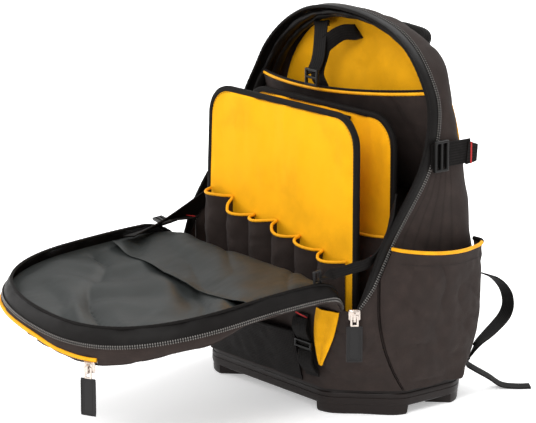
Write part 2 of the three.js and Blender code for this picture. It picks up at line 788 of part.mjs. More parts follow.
function addOrganiser() {
  add('organiser_back', organiserBack(), 'yellow');
  const pocket = organiserPocket();
  add('organiser_pocket', pocket.wall, 'mesh');
  const path = pocket.edge.slice(1, -1)
    .map((p) => vec(p.x, p.y + clothWall / 2, p.z + pipingRadius + gap));
  add('organiser_piping', tube(path, pipingRadius, 6), 'yellow');
  const mouth = pocket.edge[6];
  const top = bagHeight - organiserInset - 20;
  const front = organiserBackY(top) - clothWall - gap;
  const straps = [
    ['left', [vec(-76, front - 1.1, top - 3), vec(-76, front - 7, top - 3), vec(-57, 22, top + 3), vec(-34, -2, 408),
      vec(-18, mouth.y - 6, 392)]],
    ['right', [vec(-12, front - 0.8, top - 4), vec(-12, front - 7, top - 4), vec(-22, 25, top - 5), vec(-38, 12, 420),
      vec(-34, 2, 405), vec(-22, mouth.y + 6, 388), vec(-14, mouth.y + 7, mouth.z + 5), vec(-12, mouth.y + 14, mouth.z - 12)]],
  ];
  const level = vec(1, 0.15, 0.1);
  for (const [name, points] of straps) {
    const wide = (t) => (name === 'left' ? level : vec(0.45, 0.16, -0.85).lerp(level, clamp01(t * 1.5)));
    add(`organiser_strap_${name}`, strap(curve(points, 9), wide, narrowWebbing, 1.4), 'webbing');
  }
  add('organiser_buckle', place(ladderLock(22, 24, 4), alongZ, alongX, alongY,
    vec(-12, mouth.y - 11.8, 388)), 'plastic');
}

function addLowerFront() {
  const mesh = steps(3).map((up) => steps(6).map((t) => {
    const x = lerp(-104, 74, t);
    const z = lerp(clothStart + 2, 98, up);
    const swell = 9 * Math.sin(Math.PI * t) ** 0.6 * up;
    return vec(x, frontSurface(x, z) - clothWall - gap - swell, z);
  }));
  add('front_mesh_pocket', wallOver(mesh, -clothWall), 'mesh');
  const x = 92;
  const path = [126, 112, 98, 84, 70, 58, 47].map((z) =>
    vec(x + (126 - z) * 0.08, frontSurface(x, z) - webbingWall / 2 - gap * 3, z));
  add('front_webbing', strap(path, alongX, webbing, webbingWall), 'webbing');
  const z = 100;
  add('front_buckle', place(ladderLock(36, webbing + 8, 5), alongZ, alongX, alongY,
    vec(x + 2, frontSurface(x, z + 18) - webbingWall - gap * 5 - 2.5, z)), 'plastic');
  const gusset = [[140, 120, 158], [124, 116, 154], [104, 113, 146], [84, 113, 134], [66, 116, 122]]
    .map(([level, left, right]) => steps(3, left, right).map((at) =>
      vec(at, frontSurface(at, level) - clothWall - gap * 2 - 3 * Math.sin((at - left) / (right - left) * Math.PI), level)));
  add('yellow_gusset', wallOver([...gusset].reverse(), -clothWall), 'yellow');
}

function addSides() {
  const z = 317;
  for (const [name, side] of [['right', 1], ['left', -1]]) {
    const pocket = sidePocket(side);
    add(`side_pocket_${name}`, pocket.wall, 'cloth');
    const path = pocket.edge.map((p) => vec(p.x - side * clothWall / 2, p.y, p.z + pipingRadius + gap));
    add(`side_pocket_piping_${name}`, tube(path, pipingRadius, 6), 'yellow');
    const out = half + webbingWall / 2 + gap * 2;
    const band = [-6, 10, 26, 42, 60].map((y) => vec(side * out, Math.min(y, backY(z) - rearCorner + 28), z));
    add(`side_strap_${name}`, strap(band, alongZ, wideWebbing, webbingWall), 'webbing');
    const buckle = place(ladderLock(22, wideWebbing + 8, 5), alongY, alongZ, alongX,
      vec(side * (out + webbingWall / 2 + gap + 2.5), 7, z));
    add(`side_buckle_${name}`, buckle, 'plastic');
  }
}

function addHoldingStraps() {
  const inner = half - clothWall - gap - webbingWall;
  const right = [vec(inner - 8.8, -172, coverTop(170, 45) + 9), vec(inner - 3, -150, 195),
    vec(inner - 3, -122, 197), vec(inner - 1, -92, 203), vec(inner, -68, 236), vec(inner, -55, 278)];
  add('holding_strap_right', strap(curve(right, 14), (t) => vec(0.3 * t, 1 - t, 0.2 + t), 14, 1.6), 'webbing');
  const left = [vec(-inner + 26.5, -214, coverTop(-155, 85) + 3), vec(-inner + 22.5, -170, 193.5),
    vec(-inner + 9, -120, 199), vec(-inner + 4, -84, 208), vec(-inner, -44, 222)];
  add('holding_strap_left', strap(curve(left, 12), (t) => vec(1 - t, 0, 0.2 + t), wideWebbing - 6,
    webbingWall), 'webbing');
}

function addBack() {
  const count = 8;
  const levels = steps(count, backPadLow, backPadHigh);
  const padPlace = (i, t, rise) => {
    const end = i === 0 || i === count ? 0.86 : 1;
    const wide = (backHalf(levels[i]) - 22) * end;
    return vec(lerp(wide, -wide, t), backY(levels[i]) + gap + rise, levels[i]);
  };
  const face = (rise) => levels.map((z, i) => steps(6).map((t) => padPlace(i, t, rise(i / count, t))));
  const crown = (up, t) => 2 + (backPadWall - 2) * (Math.sin(Math.PI * up) * Math.sin(Math.PI * t)) ** 0.4;
  add('back_pad', between(face(crown), face(() => 0)), 'mesh');
}

// A place out from the rear corner of the body, half way round it unless a share is given
function cornerOut(z, side, out, share = 0.5) {
  const [inset, y] = cornerAt(z, share, backY(z), rearRun(z));
  return vec(side * (half - inset + out * Math.SQRT1_2), y + out * Math.SQRT1_2, z);
}

// Carrying straps behind the bag, the haul handle, and the webbing tails
function addCarrying() {
  const padFace = (z) => backY(z) + backPadWall + strapPadWall / 2;
  for (const [name, side] of [['right', 1], ['left', -1]]) {
    const pad = [vec(side * 74, backY(408) + strapPadWall / 2 + gap * 2, 408), vec(side * 75, padFace(350) + 4, 350),
      vec(side * 79, padFace(280) + 10, 280), vec(side * 85, padFace(210) + 14, 210),
      vec(side * 97, padFace(158) + 13, 158)];
    const padWidth = (t) => strapPadWidth * (0.72 + 0.28 * Math.sin(Math.PI * t) ** 0.5);
    add(`shoulder_pad_${name}`, strap(curve(pad, 10), alongX, padWidth, strapPadWall), 'mesh');
    const padLine = curve(pad, 10);
    const end = padLine[10];
    const onward = end.clone().sub(padLine[9]).normalize();
    const lower = [...[gap * 3, 7, 15].map((run) => end.clone().addScaledVector(onward, run)),
      vec(side * 130, 152, 130), vec(side * 142, 163, 108), vec(side * 149, 151, 85),
      cornerOut(64, side, 7), cornerOut(52, side, webbingWall / 2 + gap / 2)];
    const tangent = cornerOut(52, side, 1, 0.56).sub(cornerOut(52, side, 1, 0.44)).multiplyScalar(-side);
    const turn = (t) => alongX.clone().lerp(tangent.clone().normalize(), t * t);
    add(`strap_webbing_${name}`, strap(curve(lower, 14), turn, webbing, webbingWall), 'webbing');
    const onFloor = webbingWall / 2 + gap;
    const tail = [cornerOut(46, side, webbingWall / 2 + gap * 2), cornerOut(36, side, 3),
      vec(side * 162, 114, 16), vec(side * 169, 130, 4), vec(side * 180, 144, onFloor),
      vec(side * 191, 159, onFloor)];
    add(`strap_tail_${name}`, strap(curve(tail, 12), tangent, narrowWebbing, webbingWall), 'webbing');
  }
  const hold = backY(404);
  const halfGrip = [[42, 1.8, 412], [44, 14, 415], [50, 32, 425], [44, 42, 433], [15, 44, 436]];
  const path = [...halfGrip.map(([x, y, z]) => vec(-x, hold + y, z)),
    ...[...halfGrip].reverse().map(([x, y, z]) => vec(x, hold + y, z))];
  add('haul_handle', tube(curve(path, 20), handleRadius, 8, vec(0.02, -0.8, 0.6)), 'webbing');
}

// Zip pulls: a link whose bar, the hinge, lies at the origin, then a tag
const linkWall = pullWall * 0.7;
const barHalf = 1.2;
function pull(width, length) {
  const slab = (x, low, high, thick) =>
    toSolid(block(vec(-x, low, -thick / 2), vec(x, high, thick / 2)));
  const link = slab(5, -linkLength, barHalf, linkWall).subtract(slab(2.4, -9.5, -barHalf, pullWall * 2));
  return toGeometry(link.add(slab(width / 2, -length, 1 - linkLength, pullWall)));
}

// A slider's body with a bridge that passes through the pull's eye, above its bar
const sliderWall = 4;
const barOut = sliderWall + 2;
function slider() {
  const bridge = 1.4;
  const slab = (x, low, high, near, far) => toSolid(block(vec(-x, low, near), vec(x, high, far)));
  return toGeometry(slab(sliderWidth / 2, -sliderLength / 2, sliderLength / 2, 0, sliderWall)
    .add(slab(bridge, -6.8, -5, sliderWall - 1, barOut + 3.6))
    .add(slab(bridge, 2.4, 4.2, sliderWall - 1, barOut + 3.6))
    .add(slab(bridge, -6.8, 4.2, barOut + 2, barOut + 3.6)));
}

// A slider on a wall with a pull hanging from it; along and out are level
function addPull(name, at, out) {
  const along = vec(-out.y, out.x, 0);
  add(`slider_${name}`, place(slider(), along, alongZ, out, at), 'metal');
  const pin = at.clone().addScaledVector(out, barOut);
  const hanging = add(`pull_${name}`, pull(pullWidth, pullLength), 'rubber');
  hanging.applyMatrix4(new THREE.Matrix4().makeBasis(along, alongZ, out).setPosition(pin));
}

function addPulls() {
  const share = 0.44;
  const z = zipEndHeight;
  const ahead = frontPath(z, share - 0.05).sub(frontPath(z, share + 0.05)).normalize();
  const out = vec(ahead.y, -ahead.x, 0);
  addPull('front', frontPath(z, share).addScaledVector(out, gap * 2), out);

  const edge = coverOutline(0);
  const k = edge.findIndex(([x, run]) => run > coverStraight && x < pocketZipEnd);
  const [before, after] = [edge[k - 1], edge[k + 1]];
  const way = vec(after[1] - before[1], after[0] - before[0], 0).normalize();
  const rimOut = vec(way.x, way.y, 0);
  const low = coverFloor(...edge[k]) - 3.2;
  const spot = vec(edge[k][0], coverY(edge[k][1]), low).addScaledVector(rimOut, gap);
  addPull('pocket', spot, rimOut);
}

function build() {
  add('base_tray', tray(), 'tray');
  add('side_gusset', sideGusset(), 'cloth');
  add('back_panel', backPanel(), 'cloth');
  add('lower_front', lowerFront(), 'cloth');
  add('zip_tape', zipTape(), 'webbing');
  addCover();
  addBoards();
  addOrganiser();
  addLowerFront();
  addSides();
  addHoldingStraps();
  addBack();
  addCarrying();
  addPulls();
}

build();

const box = new THREE.Box3().setFromObject(pack);
const middle = box.getCenter(vec(0, 0, 0));
pack.position.set(-middle.x, -middle.y, -box.min.z);
pack.updateMatrixWorld(true);

export default pack;
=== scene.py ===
# Tool backpack, standing open on its moulded tray: every visible piece, modelled over the packed
# frame. Sizes in the tables are millimetres, measured from the middle of the tray.
import json
import math

import bpy
import numpy as np
from bpy.props import FloatProperty, FloatVectorProperty, PointerProperty
from mathutils import Matrix, Vector, noise


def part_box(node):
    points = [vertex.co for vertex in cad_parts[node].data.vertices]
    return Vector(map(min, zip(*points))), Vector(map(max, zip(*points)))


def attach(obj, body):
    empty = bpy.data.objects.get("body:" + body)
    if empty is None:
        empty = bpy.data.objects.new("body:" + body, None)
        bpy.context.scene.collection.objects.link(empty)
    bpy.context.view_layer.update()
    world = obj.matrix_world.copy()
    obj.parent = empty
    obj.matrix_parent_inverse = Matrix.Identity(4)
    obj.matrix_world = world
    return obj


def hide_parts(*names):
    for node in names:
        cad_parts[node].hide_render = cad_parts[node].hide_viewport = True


bl_info = {
    "name": "Tool Backpack",
    "version": (1, 0, 0),
    "blender": (4, 5, 0),
    "location": "View3D > Sidebar > Backpack",
    "description": "Models an open tool backpack over its packed frame",
    "category": "Add Mesh",
}

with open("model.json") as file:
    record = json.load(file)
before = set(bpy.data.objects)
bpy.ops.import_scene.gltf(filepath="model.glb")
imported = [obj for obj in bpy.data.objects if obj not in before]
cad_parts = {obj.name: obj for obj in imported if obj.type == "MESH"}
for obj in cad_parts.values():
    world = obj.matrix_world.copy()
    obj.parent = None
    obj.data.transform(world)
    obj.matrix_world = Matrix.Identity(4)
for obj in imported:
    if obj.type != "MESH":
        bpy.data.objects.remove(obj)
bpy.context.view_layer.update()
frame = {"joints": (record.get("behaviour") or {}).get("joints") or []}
tray_low, tray_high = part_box("base_tray")
body_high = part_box("side_gusset")[1]
MM = 0.001


# Sizes and colours
def length(name, description, default):
    return FloatProperty(name=name, description=description, default=default, unit="LENGTH")


def tint(name, description, default):
    return FloatVectorProperty(name=name, description=description, default=default,
                               subtype="COLOR", size=3, min=0, max=1)


class BagSizes(bpy.types.PropertyGroup):
    """Sizes of the boards, the webbing, the piping and the zip pulls"""
    board_width: length("Board width", "Width of the tool boards", 0.29)
    board_height: length("Board height", "Height of the front tool board", 0.349)
    webbing: length("Webbing", "Width of the main webbing", 0.025)
    narrow_webbing: length("Narrow webbing", "Width of the narrow webbing", 0.020)
    piping: length("Piping", "Radius of the yellow piping", 0.0023)
    pull_length: length("Pull length", "Length of a zip pull below its pin", 0.057)
    pull_width: length("Pull width", "Width of a zip pull's tag", 0.0196)


class BagColours(bpy.types.PropertyGroup):
    """Colours of the bag's cloths and hardware"""
    cloth: tint("Cloth", "Heavy dark cloth of the body", (0.0255, 0.0170, 0.0145))
    tray: tint("Tray", "Moulded tray", (0.0110, 0.0070, 0.0060))
    yellow: tint("Yellow cloth", "Boards and organiser", (0.94, 0.435, 0.006))
    piping: tint("Piping", "Yellow piping", (0.90, 0.40, 0.004))
    lining: tint("Lining", "Thin grey lining", (0.030, 0.033, 0.032))
    webbing: tint("Webbing", "Straps and bindings", (0.0060, 0.0050, 0.0046))
    mesh: tint("Mesh", "Net of the pockets", (0.0050, 0.0042, 0.0040))
    nickel: tint("Nickel", "Zip sliders", (0.66, 0.58, 0.52))
    rubber: tint("Rubber", "Zip pull tags", (0.017, 0.016, 0.016))
    plastic: tint("Plastic", "Buckles", (0.0050, 0.0045, 0.0042))
    # the zip teeth's light grey is partly their own colour and partly a painted highlight along the coil
    teeth: tint("Zip teeth", "Teeth of the open zips", (0.17, 0.16, 0.15))
    tack: tint("Tack", "Bar tacks", (0.50, 0.02, 0.02))
    light_tack: tint("Light tack", "Bar tack on the organiser's strap", (0.80, 0.30, 0.02))


def size(name):
    """A size of the panel, in millimetres"""
    return getattr(bpy.context.scene.bag_sizes, name) / MM


# Body: the tray's half width and front come from the frame, the rest in millimetres
HALF = (tray_high.x - tray_low.x) / 2 / MM
TRAY_FRONT = (tray_high.y - tray_low.y) / 2 / MM
TOP = body_high.z / MM
ARCH_RISE = 173
ARCH_POWER = 2.2
TRAY_CORNER = 67
TRAY_HEIGHT = 32
FOOT = 11
FLOOR_TOP = FOOT + 3
HINGE = 148
SHOULDER = 300
SWELL = 17
UPPER_CORNER = 42
REAR_CORNER = 38
GAP = 0.3
WALL = 2
THIN_WALL = 1.6
LINING_WALL = 0.9
TAPE = 14
REACH = TRAY_FRONT + SWELL
CLOTH_START = TRAY_HEIGHT + GAP

# Cover: run is the distance from the hinge
COVER_LENGTH = 327
COVER_STRAIGHT = 160
COVER_POWER = 2.2
COVER_RISE = 183
COVER_DROOP = 28
COVER_ROLL = 6.6
COVER_DEPTH = 25
COVER_BELLY = 13
HINGE_DEPTH = 15
HINGE_RUN = 40
TAPER_START = 145
TAPER_RUN = 70
TAPE_DROP = 12
TAPE_LEAN = 10
RIM_LIFT = 6
LINING_INSET = 7.8
PIPING_SHARE = 0.72
PIPING_END = 100
PIPING_LIFT = 5

# Boards
BOARD_SHIFT = -10
BOARD_CORNER = 34
BOARD_WALL = 5
BOARD_LEAN = 14
BOARD_TAPER = 90
FRONT_BOARD_Y = -85
REAR_BOARD_Y = -26

# Camera fitted to the photograph, from the middle of the tray
CAMERA_PLACE = (2.55424761, -2.16018021, 1.02929132)
CAMERA_RIGHT = (0.62598348, 0.77983631, 0)
CAMERA_UP = (-0.1845228, 0.14811855, 0.97160292)
CAMERA_AHEAD = (-0.75769124, 0.60820738, -0.23661734)
FOCAL_PIXELS = 2741.96
PHOTO_WIDTH = 536
SENSOR_WIDTH = 36


# The bag's outline
def lerp(a, b, t):
    return a + (b - a) * t


def clamp(t, low=0.0, high=1.0):
    return min(max(t, low), high)


def ease(t):
    return 1 - (1 - clamp(t)) ** 2


def shares(count):
    """Equal steps from 0 to 1"""
    return [i / count for i in range(count + 1)]


def spow(v, p):
    return math.copysign(abs(v) ** p, v)


def smooth(rows, at):
    """Smooth curve through the rows (at, value) of a table"""
    if at <= rows[0][0]:
        return rows[0][1]
    if at >= rows[-1][0]:
        return rows[-1][1]
    i = 0
    while at > rows[i + 1][0]:
        i += 1

    def slope(k):
        a = rows[max(k - 1, 0)]
        b = rows[min(k + 1, len(rows) - 1)]
        return (b[1] - a[1]) / (b[0] - a[0])

    run = rows[i + 1][0] - rows[i][0]
    t = (at - rows[i][0]) / run
    t2, t3 = t * t, t * t * t
    return ((2 * t3 - 3 * t2 + 1) * rows[i][1] + (t3 - 2 * t2 + t) * run * slope(i)
            + (3 * t2 - 2 * t3) * rows[i + 1][1] + (t3 - t2) * run * slope(i + 1))


def swell_share(z):
    return ease((z - TRAY_HEIGHT) / (HINGE - TRAY_HEIGHT))


def front_y(z):
    return -(TRAY_FRONT + SWELL * swell_share(z))


def corner_run(z):
    return lerp(TRAY_CORNER, UPPER_CORNER, swell_share(z))


def seam_y(z):
    return front_y(z) + corner_run(z)


# share of the bag's height, share of the tray's front or of the reach
BACK_LEAN = [(0.068, 1), (0.254, 0.871), (0.444, 0.729), (0.698, 0.587), (1, 0.551)]
ZIP_LEAN = [(0.294, 1), (0.359, 0.846), (0.478, 0.585), (0.592, 0.277), (0.651, 0.154),
            (0.784, -0.015), (0.857, -0.04), (0.958, -0.06), (1, -0.01)]


def back_y(z):
    return TRAY_FRONT * smooth(BACK_LEAN, z / TOP)


def rear_run(z):
    tight = 17 * math.exp(-((z - 425) / 30) ** 2)
    return lerp(TRAY_CORNER, REAR_CORNER, swell_share(z)) - tight


def zip_y(z):
    return -REACH * smooth(ZIP_LEAN, z / TOP)


def first_level(start, test):
    z = start
    while test(z):
        z += 0.5
    return z


TAPE_RUN = TAPE * 1.15
ZIP_MEETS = first_level(HINGE, lambda z: zip_y(z) < seam_y(z))
CLOTH_MEETS = first_level(TRAY_HEIGHT, lambda z: zip_y(z) + TAPE_RUN < seam_y(z))
SEAM_GAP = WALL * 0.75 + GAP
ZIP_SHARE = 0.42
ZIP_LOW = HINGE - 9


def cloth_front(z):
    return max(seam_y(z), zip_y(z) + TAPE_RUN) + SEAM_GAP


def corner_at(z, share, wall_y, run):
    """A corner of the body's section: a chamfer at the tray that turns round further up"""
    outward = math.copysign(1, wall_y)
    turn = 0.2 + 0.8 * swell_share(z)
    inset = lerp(share, share * share, turn) * run
    end = lerp(1 - share, (1 - share) ** 2, turn) * run
    return inset, wall_y - outward * end


def arch_row(angle):
    c, s = math.cos(angle), math.sin(angle)
    x = HALF * spow(c, 2 / ARCH_POWER)
    z = SHOULDER + ARCH_RISE * spow(s, 2 / ARCH_POWER)
    nx = spow(x / HALF, ARCH_POWER - 1) / HALF
    nz = max((z - SHOULDER) / ARCH_RISE, 0) ** (ARCH_POWER - 1) / ARCH_RISE
    run = math.hypot(nx, nz)
    return x, z, nx / run, nz / run


def outline_rows(wall_steps, arch_steps, low=CLOTH_START):
    """Rows (x, z, way out in x, way out in z) up the right side, over the arch and down the left"""
    rise = [(HALF, lerp(low, SHOULDER, i / wall_steps), 1, 0) for i in range(wall_steps)]
    over = [arch_row(math.pi * t) for t in shares(arch_steps)]
    fall = [(-x, z, -1, 0) for x, z, _, _ in reversed(rise)]
    return rise + over + fall


def inward(row, inset, y):
    x, z, nx, nz = row
    return (x - inset * nx, y, z - inset * nz)


def front_path(z, share):
    """A place on the front corner, at a share of the way from the side to the front"""
    inset, y = corner_at(z, share, front_y(z), corner_run(z))
    return (HALF - inset, y, z)


def front_surface(x, z):
    flat = HALF - corner_run(z)
    if abs(x) <= flat:
        return front_y(z)
    places = [front_path(z, share) for share in shares(60)]
    return min(places, key=lambda p: abs(p[0] - abs(x)))[1]


def front_top(share):
    """Height of the lower front's edge along the corner, where it follows the zip"""
    if share >= ZIP_SHARE:
        return lerp(ZIP_LOW, HINGE, (share - ZIP_SHARE) / (1 - ZIP_SHARE))
    return lerp(CLOTH_MEETS, ZIP_LOW, (share / ZIP_SHARE) ** 0.8)


def side_place(z, y):
    """A place on the side wall or its rear corner, with the way out from it"""
    start = back_y(z) - rear_run(z)
    if y <= start:
        return HALF, y, 1, 0
    share = clamp((y - start) / (rear_run(z) * 1.4))
    inset, at = corner_at(z, share, back_y(z), rear_run(z))
    inset_after, at_after = corner_at(z, share + 0.02, back_y(z), rear_run(z))
    run = math.hypot(at_after - at, inset_after - inset)
    return HALF - inset, at, (at_after - at) / run, (inset_after - inset) / run


def corner_out(z, side, out, share=0.5):
    """A place off the rear corner of the side, straight out between back and side"""
    inset, y = corner_at(z, share, back_y(z), rear_run(z))
    return (side * (HALF - inset + out * math.sqrt(0.5)), y + out * math.sqrt(0.5), z)


def cover_half(run):
    near = HALF - 14 * (1 - ease(run / 45))
    if run <= COVER_STRAIGHT:
        return near
    share = clamp((run - COVER_STRAIGHT) / (COVER_LENGTH - COVER_STRAIGHT))
    return HALF * max(1 - share ** COVER_POWER, 0) ** (1 / COVER_POWER)


def cover_y(run):
    return -(REACH + run)


def cover_top(x, run):
    share = run / COVER_LENGTH
    twist = (3.5 - 0.095 * x) * share ** 6
    return COVER_RISE - COVER_DROOP * share ** 2 - COVER_ROLL * x / (2 * HALF) + twist


def rim_dip(run):
    return 20 * math.exp(-max(run, 0) / 12)


def cover_base(x, run):
    return cover_top(x, run) - rim_dip(run)


def cover_rim(x, run):
    return cover_base(x, run) + RIM_LIFT * clamp(run / HINGE_RUN)


# x, how much lower the floor is at the tip
TIP_DEPTHS = [(-120, -4), (-60, -4), (0, -1.5), (28, 2), (75, 8), (100, 11), (130, 9), (180, 0)]


def cover_floor(x, run):
    wide = max(cover_half(run), abs(x), 1)
    belly = (COVER_BELLY * (1 - (x / wide) ** 2) * clamp(run / HINGE_RUN)
             * clamp((COVER_LENGTH - run) / 60))
    taper = clamp((run - TAPER_START) / TAPER_RUN)
    side = lerp(HINGE_DEPTH, COVER_DEPTH, taper ** 2 * (3 - 2 * taper))
    tip = smooth(TIP_DEPTHS, x) * (run / COVER_LENGTH) ** 4
    return cover_top(x, run) - rim_dip(run) * 1.15 - side - belly - tip


def cover_outline(inset, side_steps=44, tip_steps=96):
    """Places (x, run) round the open cover's edge, from its right hinge corner to the left one"""
    straight = []
    for i in range(side_steps):
        run = COVER_STRAIGHT * (i / side_steps) ** 1.3
        straight.append((cover_half(run) - inset, run))
    tip = []
    reach = COVER_LENGTH - COVER_STRAIGHT - inset
    for angle in (math.pi * share for share in shares(tip_steps)):
        tip.append(((HALF - inset) * spow(math.cos(angle), 2 / COVER_POWER),
                    COVER_STRAIGHT + reach * math.sin(angle) ** (2 / COVER_POWER)))
    back = [(-x, run) for x, run in reversed(straight)]
    return [(x, max(run, GAP)) for x, run in straight + tip + back]


def arch_half(z, inset):
    share = clamp((z - SHOULDER) / (ARCH_RISE - inset))
    return (HALF - inset) * max(1 - share ** ARCH_POWER, 0) ** (1 / ARCH_POWER)


# Modelling by operators
def deselect():
    if bpy.context.object and bpy.context.object.mode != "OBJECT":
        bpy.ops.object.mode_set(mode="OBJECT")
    bpy.ops.object.select_all(action="DESELECT")


def only(obj):
    deselect()
    obj.select_set(True)
    bpy.context.view_layer.objects.active = obj
    return obj


def apply_modifier(obj, kind, **settings):
    only(obj)
    modifier = obj.modifiers.new(kind.title(), kind)
    for key, value in settings.items():
        setattr(modifier, key, value)
    bpy.ops.object.modifier_apply(modifier=modifier.name)


def edit_all(obj, *steps):
    """Edit mode with everything selected; each step is an operator and its settings"""
    only(obj)
    bpy.ops.object.mode_set(mode="EDIT")
    bpy.ops.mesh.select_mode(type="VERT")
    bpy.ops.mesh.select_all(action="SELECT")
    for operator, settings in steps:
        operator(**settings)
    bpy.ops.object.mode_set(mode="OBJECT")


def select_faces(obj, test):
    """Edit mode with only those faces selected that pass the test"""
    only(obj)
    bpy.ops.object.mode_set(mode="EDIT")
    bpy.ops.mesh.select_mode(type="FACE")
    bpy.ops.mesh.select_all(action="DESELECT")
    bpy.ops.object.mode_set(mode="OBJECT")
    for face in obj.data.polygons:
        face.select = test(face)
    bpy.ops.object.mode_set(mode="EDIT")


def tray_middle():
    return Vector((0, (tray_low.y + tray_high.y) / 2, 0))


def set_places(obj, places):
    """Vertices to places in millimetres from the tray's middle"""
    co = np.asarray(places, float).reshape(-1, 3) * MM + np.array(tray_middle())
    obj.data.vertices.foreach_set("co", co.ravel())
    obj.data.update()


def lay_uv(mesh, u, v):
    """The piece's own pattern map, in metres along and across the cloth"""
    layer = mesh.uv_layers[0] if mesh.uv_layers else mesh.uv_layers.new(name="UVMap")
    index = np.empty(len(mesh.loops), np.int32)
    mesh.loops.foreach_get("vertex_index", index)
    uv = np.stack([u[index], v[index]], 1)
    layer.data.foreach_set("uv", uv.ravel())


def primitive_cloth(name, rows, cols):
    """A flat grid, its vertices in order of rows and then columns"""
    deselect()
    bpy.ops.mesh.primitive_grid_add(x_subdivisions=cols - 1, y_subdivisions=rows - 1, size=1)
    obj = bpy.context.object
    obj.name = name
    co = np.empty(len(obj.data.vertices) * 3)
    obj.data.vertices.foreach_get("co", co)
    co = co.reshape(-1, 3)
    order = np.lexsort((np.round(co[:, 0], 6), np.round(co[:, 1], 6)))
    place = np.empty(len(order), int)
    place[order] = np.arange(len(order))
    return obj, place


def arc_lengths(grid):
    """Distances in metres down the middle column and along the middle row of a grid"""
    rows, cols = grid.shape[:2]
    down = np.linalg.norm(np.diff(grid[:, cols // 2], axis=0), axis=1)
    along = np.linalg.norm(np.diff(grid[rows // 2], axis=0), axis=1)
    return (np.concatenate([[0], np.cumsum(down)]) * MM,
            np.concatenate([[0], np.cumsum(along)]) * MM)


def grid_normals(grid):
    down = np.gradient(grid, axis=0)
    along = np.gradient(grid, axis=1)
    n = np.cross(along, down)
    return n / np.maximum(np.linalg.norm(n, axis=2, keepdims=True), 1e-9)


def cloth_piece(name, grid, wall, relief, way, material, slot, *nodes):
    """A cloth wall through a grid of places, dressed. The grid is its outer face, turned so that
    its middle faces way, and relief(v, u, place) lifts it there."""
    grid = np.array(grid, float)
    rows, cols = grid.shape[:2]
    v, u = arc_lengths(grid)
    normals = grid_normals(grid)
    normals *= math.copysign(1, normals[rows // 2, cols // 2].dot(way))
    if relief:
        lift = np.array([[relief(down, along, grid[i, j])
                          for j, along in enumerate(shares(cols - 1))]
                         for i, down in enumerate(shares(rows - 1))])
        grid = grid + normals * lift[:, :, None]
    obj, place = primitive_cloth(name, rows, cols)
    set_places(obj, grid.reshape(-1, 3)[place])
    lay_uv(obj.data, np.tile(u, rows)[place], np.repeat(v, cols)[place])
    # the wall grows away from the side that the normals show
    face = obj.data.polygons[len(obj.data.polygons) // 2]
    middle = normals.reshape(-1, 3)[place][face.vertices[0]]
    if face.normal.dot(Vector(middle)) < 0:
        edit_all(obj, (bpy.ops.mesh.flip_normals, {}))
    apply_modifier(obj, "SOLIDIFY", thickness=wall * MM, offset=-1, use_even_offset=False)
    only(obj)
    bpy.ops.object.shade_smooth_by_angle(angle=math.radians(50))
    return dress(obj, material, slot, *nodes)


def catmull(points, count, closed=False):
    """Evenly spaced points on a smooth curve through the given ones"""
    p = [Vector(q) for q in points]
    n = len(p)
    fine = []
    spans = n if closed else n - 1
    for i in range(spans):
        a = p[(i - 1) % n] if closed or i > 0 else p[0] * 2 - p[1]
        b, c = p[i], p[(i + 1) % n]
        d = p[(i + 2) % n] if closed or i < n - 2 else p[-1] * 2 - p[-2]
        for k in range(16):
            t = k / 16
            fine.append(0.5 * ((2 * b) + (c - a) * t + (2 * a - 5 * b + 4 * c - d) * t * t
                               + (3 * b - a - 3 * c + d) * t ** 3))
    fine.append(p[0] if closed else p[-1])
    return spaced(fine, count)


def spaced(points, count):
    pts = np.array([tuple(q) for q in points], float)
    run = np.concatenate([[0], np.cumsum(np.linalg.norm(np.diff(pts, axis=0), axis=1))])
    at = np.linspace(0, run[-1], count)
    return [Vector([np.interp(a, run, pts[:, k]) for k in range(3)]) for a in at]


def path_length(points):
    return sum((b - a).length for a, b in zip(points, points[1:]))


def directions(points):
    n = len(points)
    return [(points[min(i + 1, n - 1)] - points[max(i - 1, 0)]).normalized() for i in range(n)]


def sweep(name, points, wide, width, thick, power=2.0, around=12, relief=None):
    """A strap, tube or welt along points. wide is the direction across it; power 2 gives a
    round section and a larger one a flat webbing. relief(along, angle) lifts its surface."""
    ahead = directions(points)
    grid = []
    for i, (p, forward) in enumerate(zip(points, ahead)):
        t = i / (len(points) - 1)
        across = Vector(wide(t) if callable(wide) else wide)
        across = (across - forward * across.dot(forward)).normalized()
        up = forward.cross(across)
        w = (width(t) if callable(width) else width) / 2
        h = (thick(t) if callable(thick) else thick) / 2
        ring = []
        for angle in (2 * math.pi * share for share in shares(around)):
            c, s = spow(math.cos(angle), 2 / power), spow(math.sin(angle), 2 / power)
            lift = relief(t, angle) if relief else 0
            ring.append(p + across * (c * (w + lift)) + up * (s * (h + lift)))
        grid.append(ring)
    grid = np.array([[tuple(q) for q in ring] for ring in grid])
    rows, cols = grid.shape[:2]
    v = np.concatenate([[0], np.cumsum([(b - a).length for a, b in zip(points, points[1:])])]) * MM
    u = np.concatenate([[0], np.cumsum(np.linalg.norm(np.diff(grid[rows // 2], axis=0), axis=1))]) * MM
    obj, place = primitive_cloth(name, rows, cols)
    set_places(obj, grid.reshape(-1, 3)[place])
    lay_uv(obj.data, np.tile(u, rows)[place], np.repeat(v, cols)[place])
    edit_all(obj, (bpy.ops.mesh.remove_doubles, {"threshold": 1e-6}),
             (bpy.ops.mesh.fill_holes, {"sides": 0}),
             (bpy.ops.mesh.normals_make_consistent, {"inside": False}))
    only(obj)
    bpy.ops.object.shade_smooth_by_angle(angle=math.radians(50))
    return obj


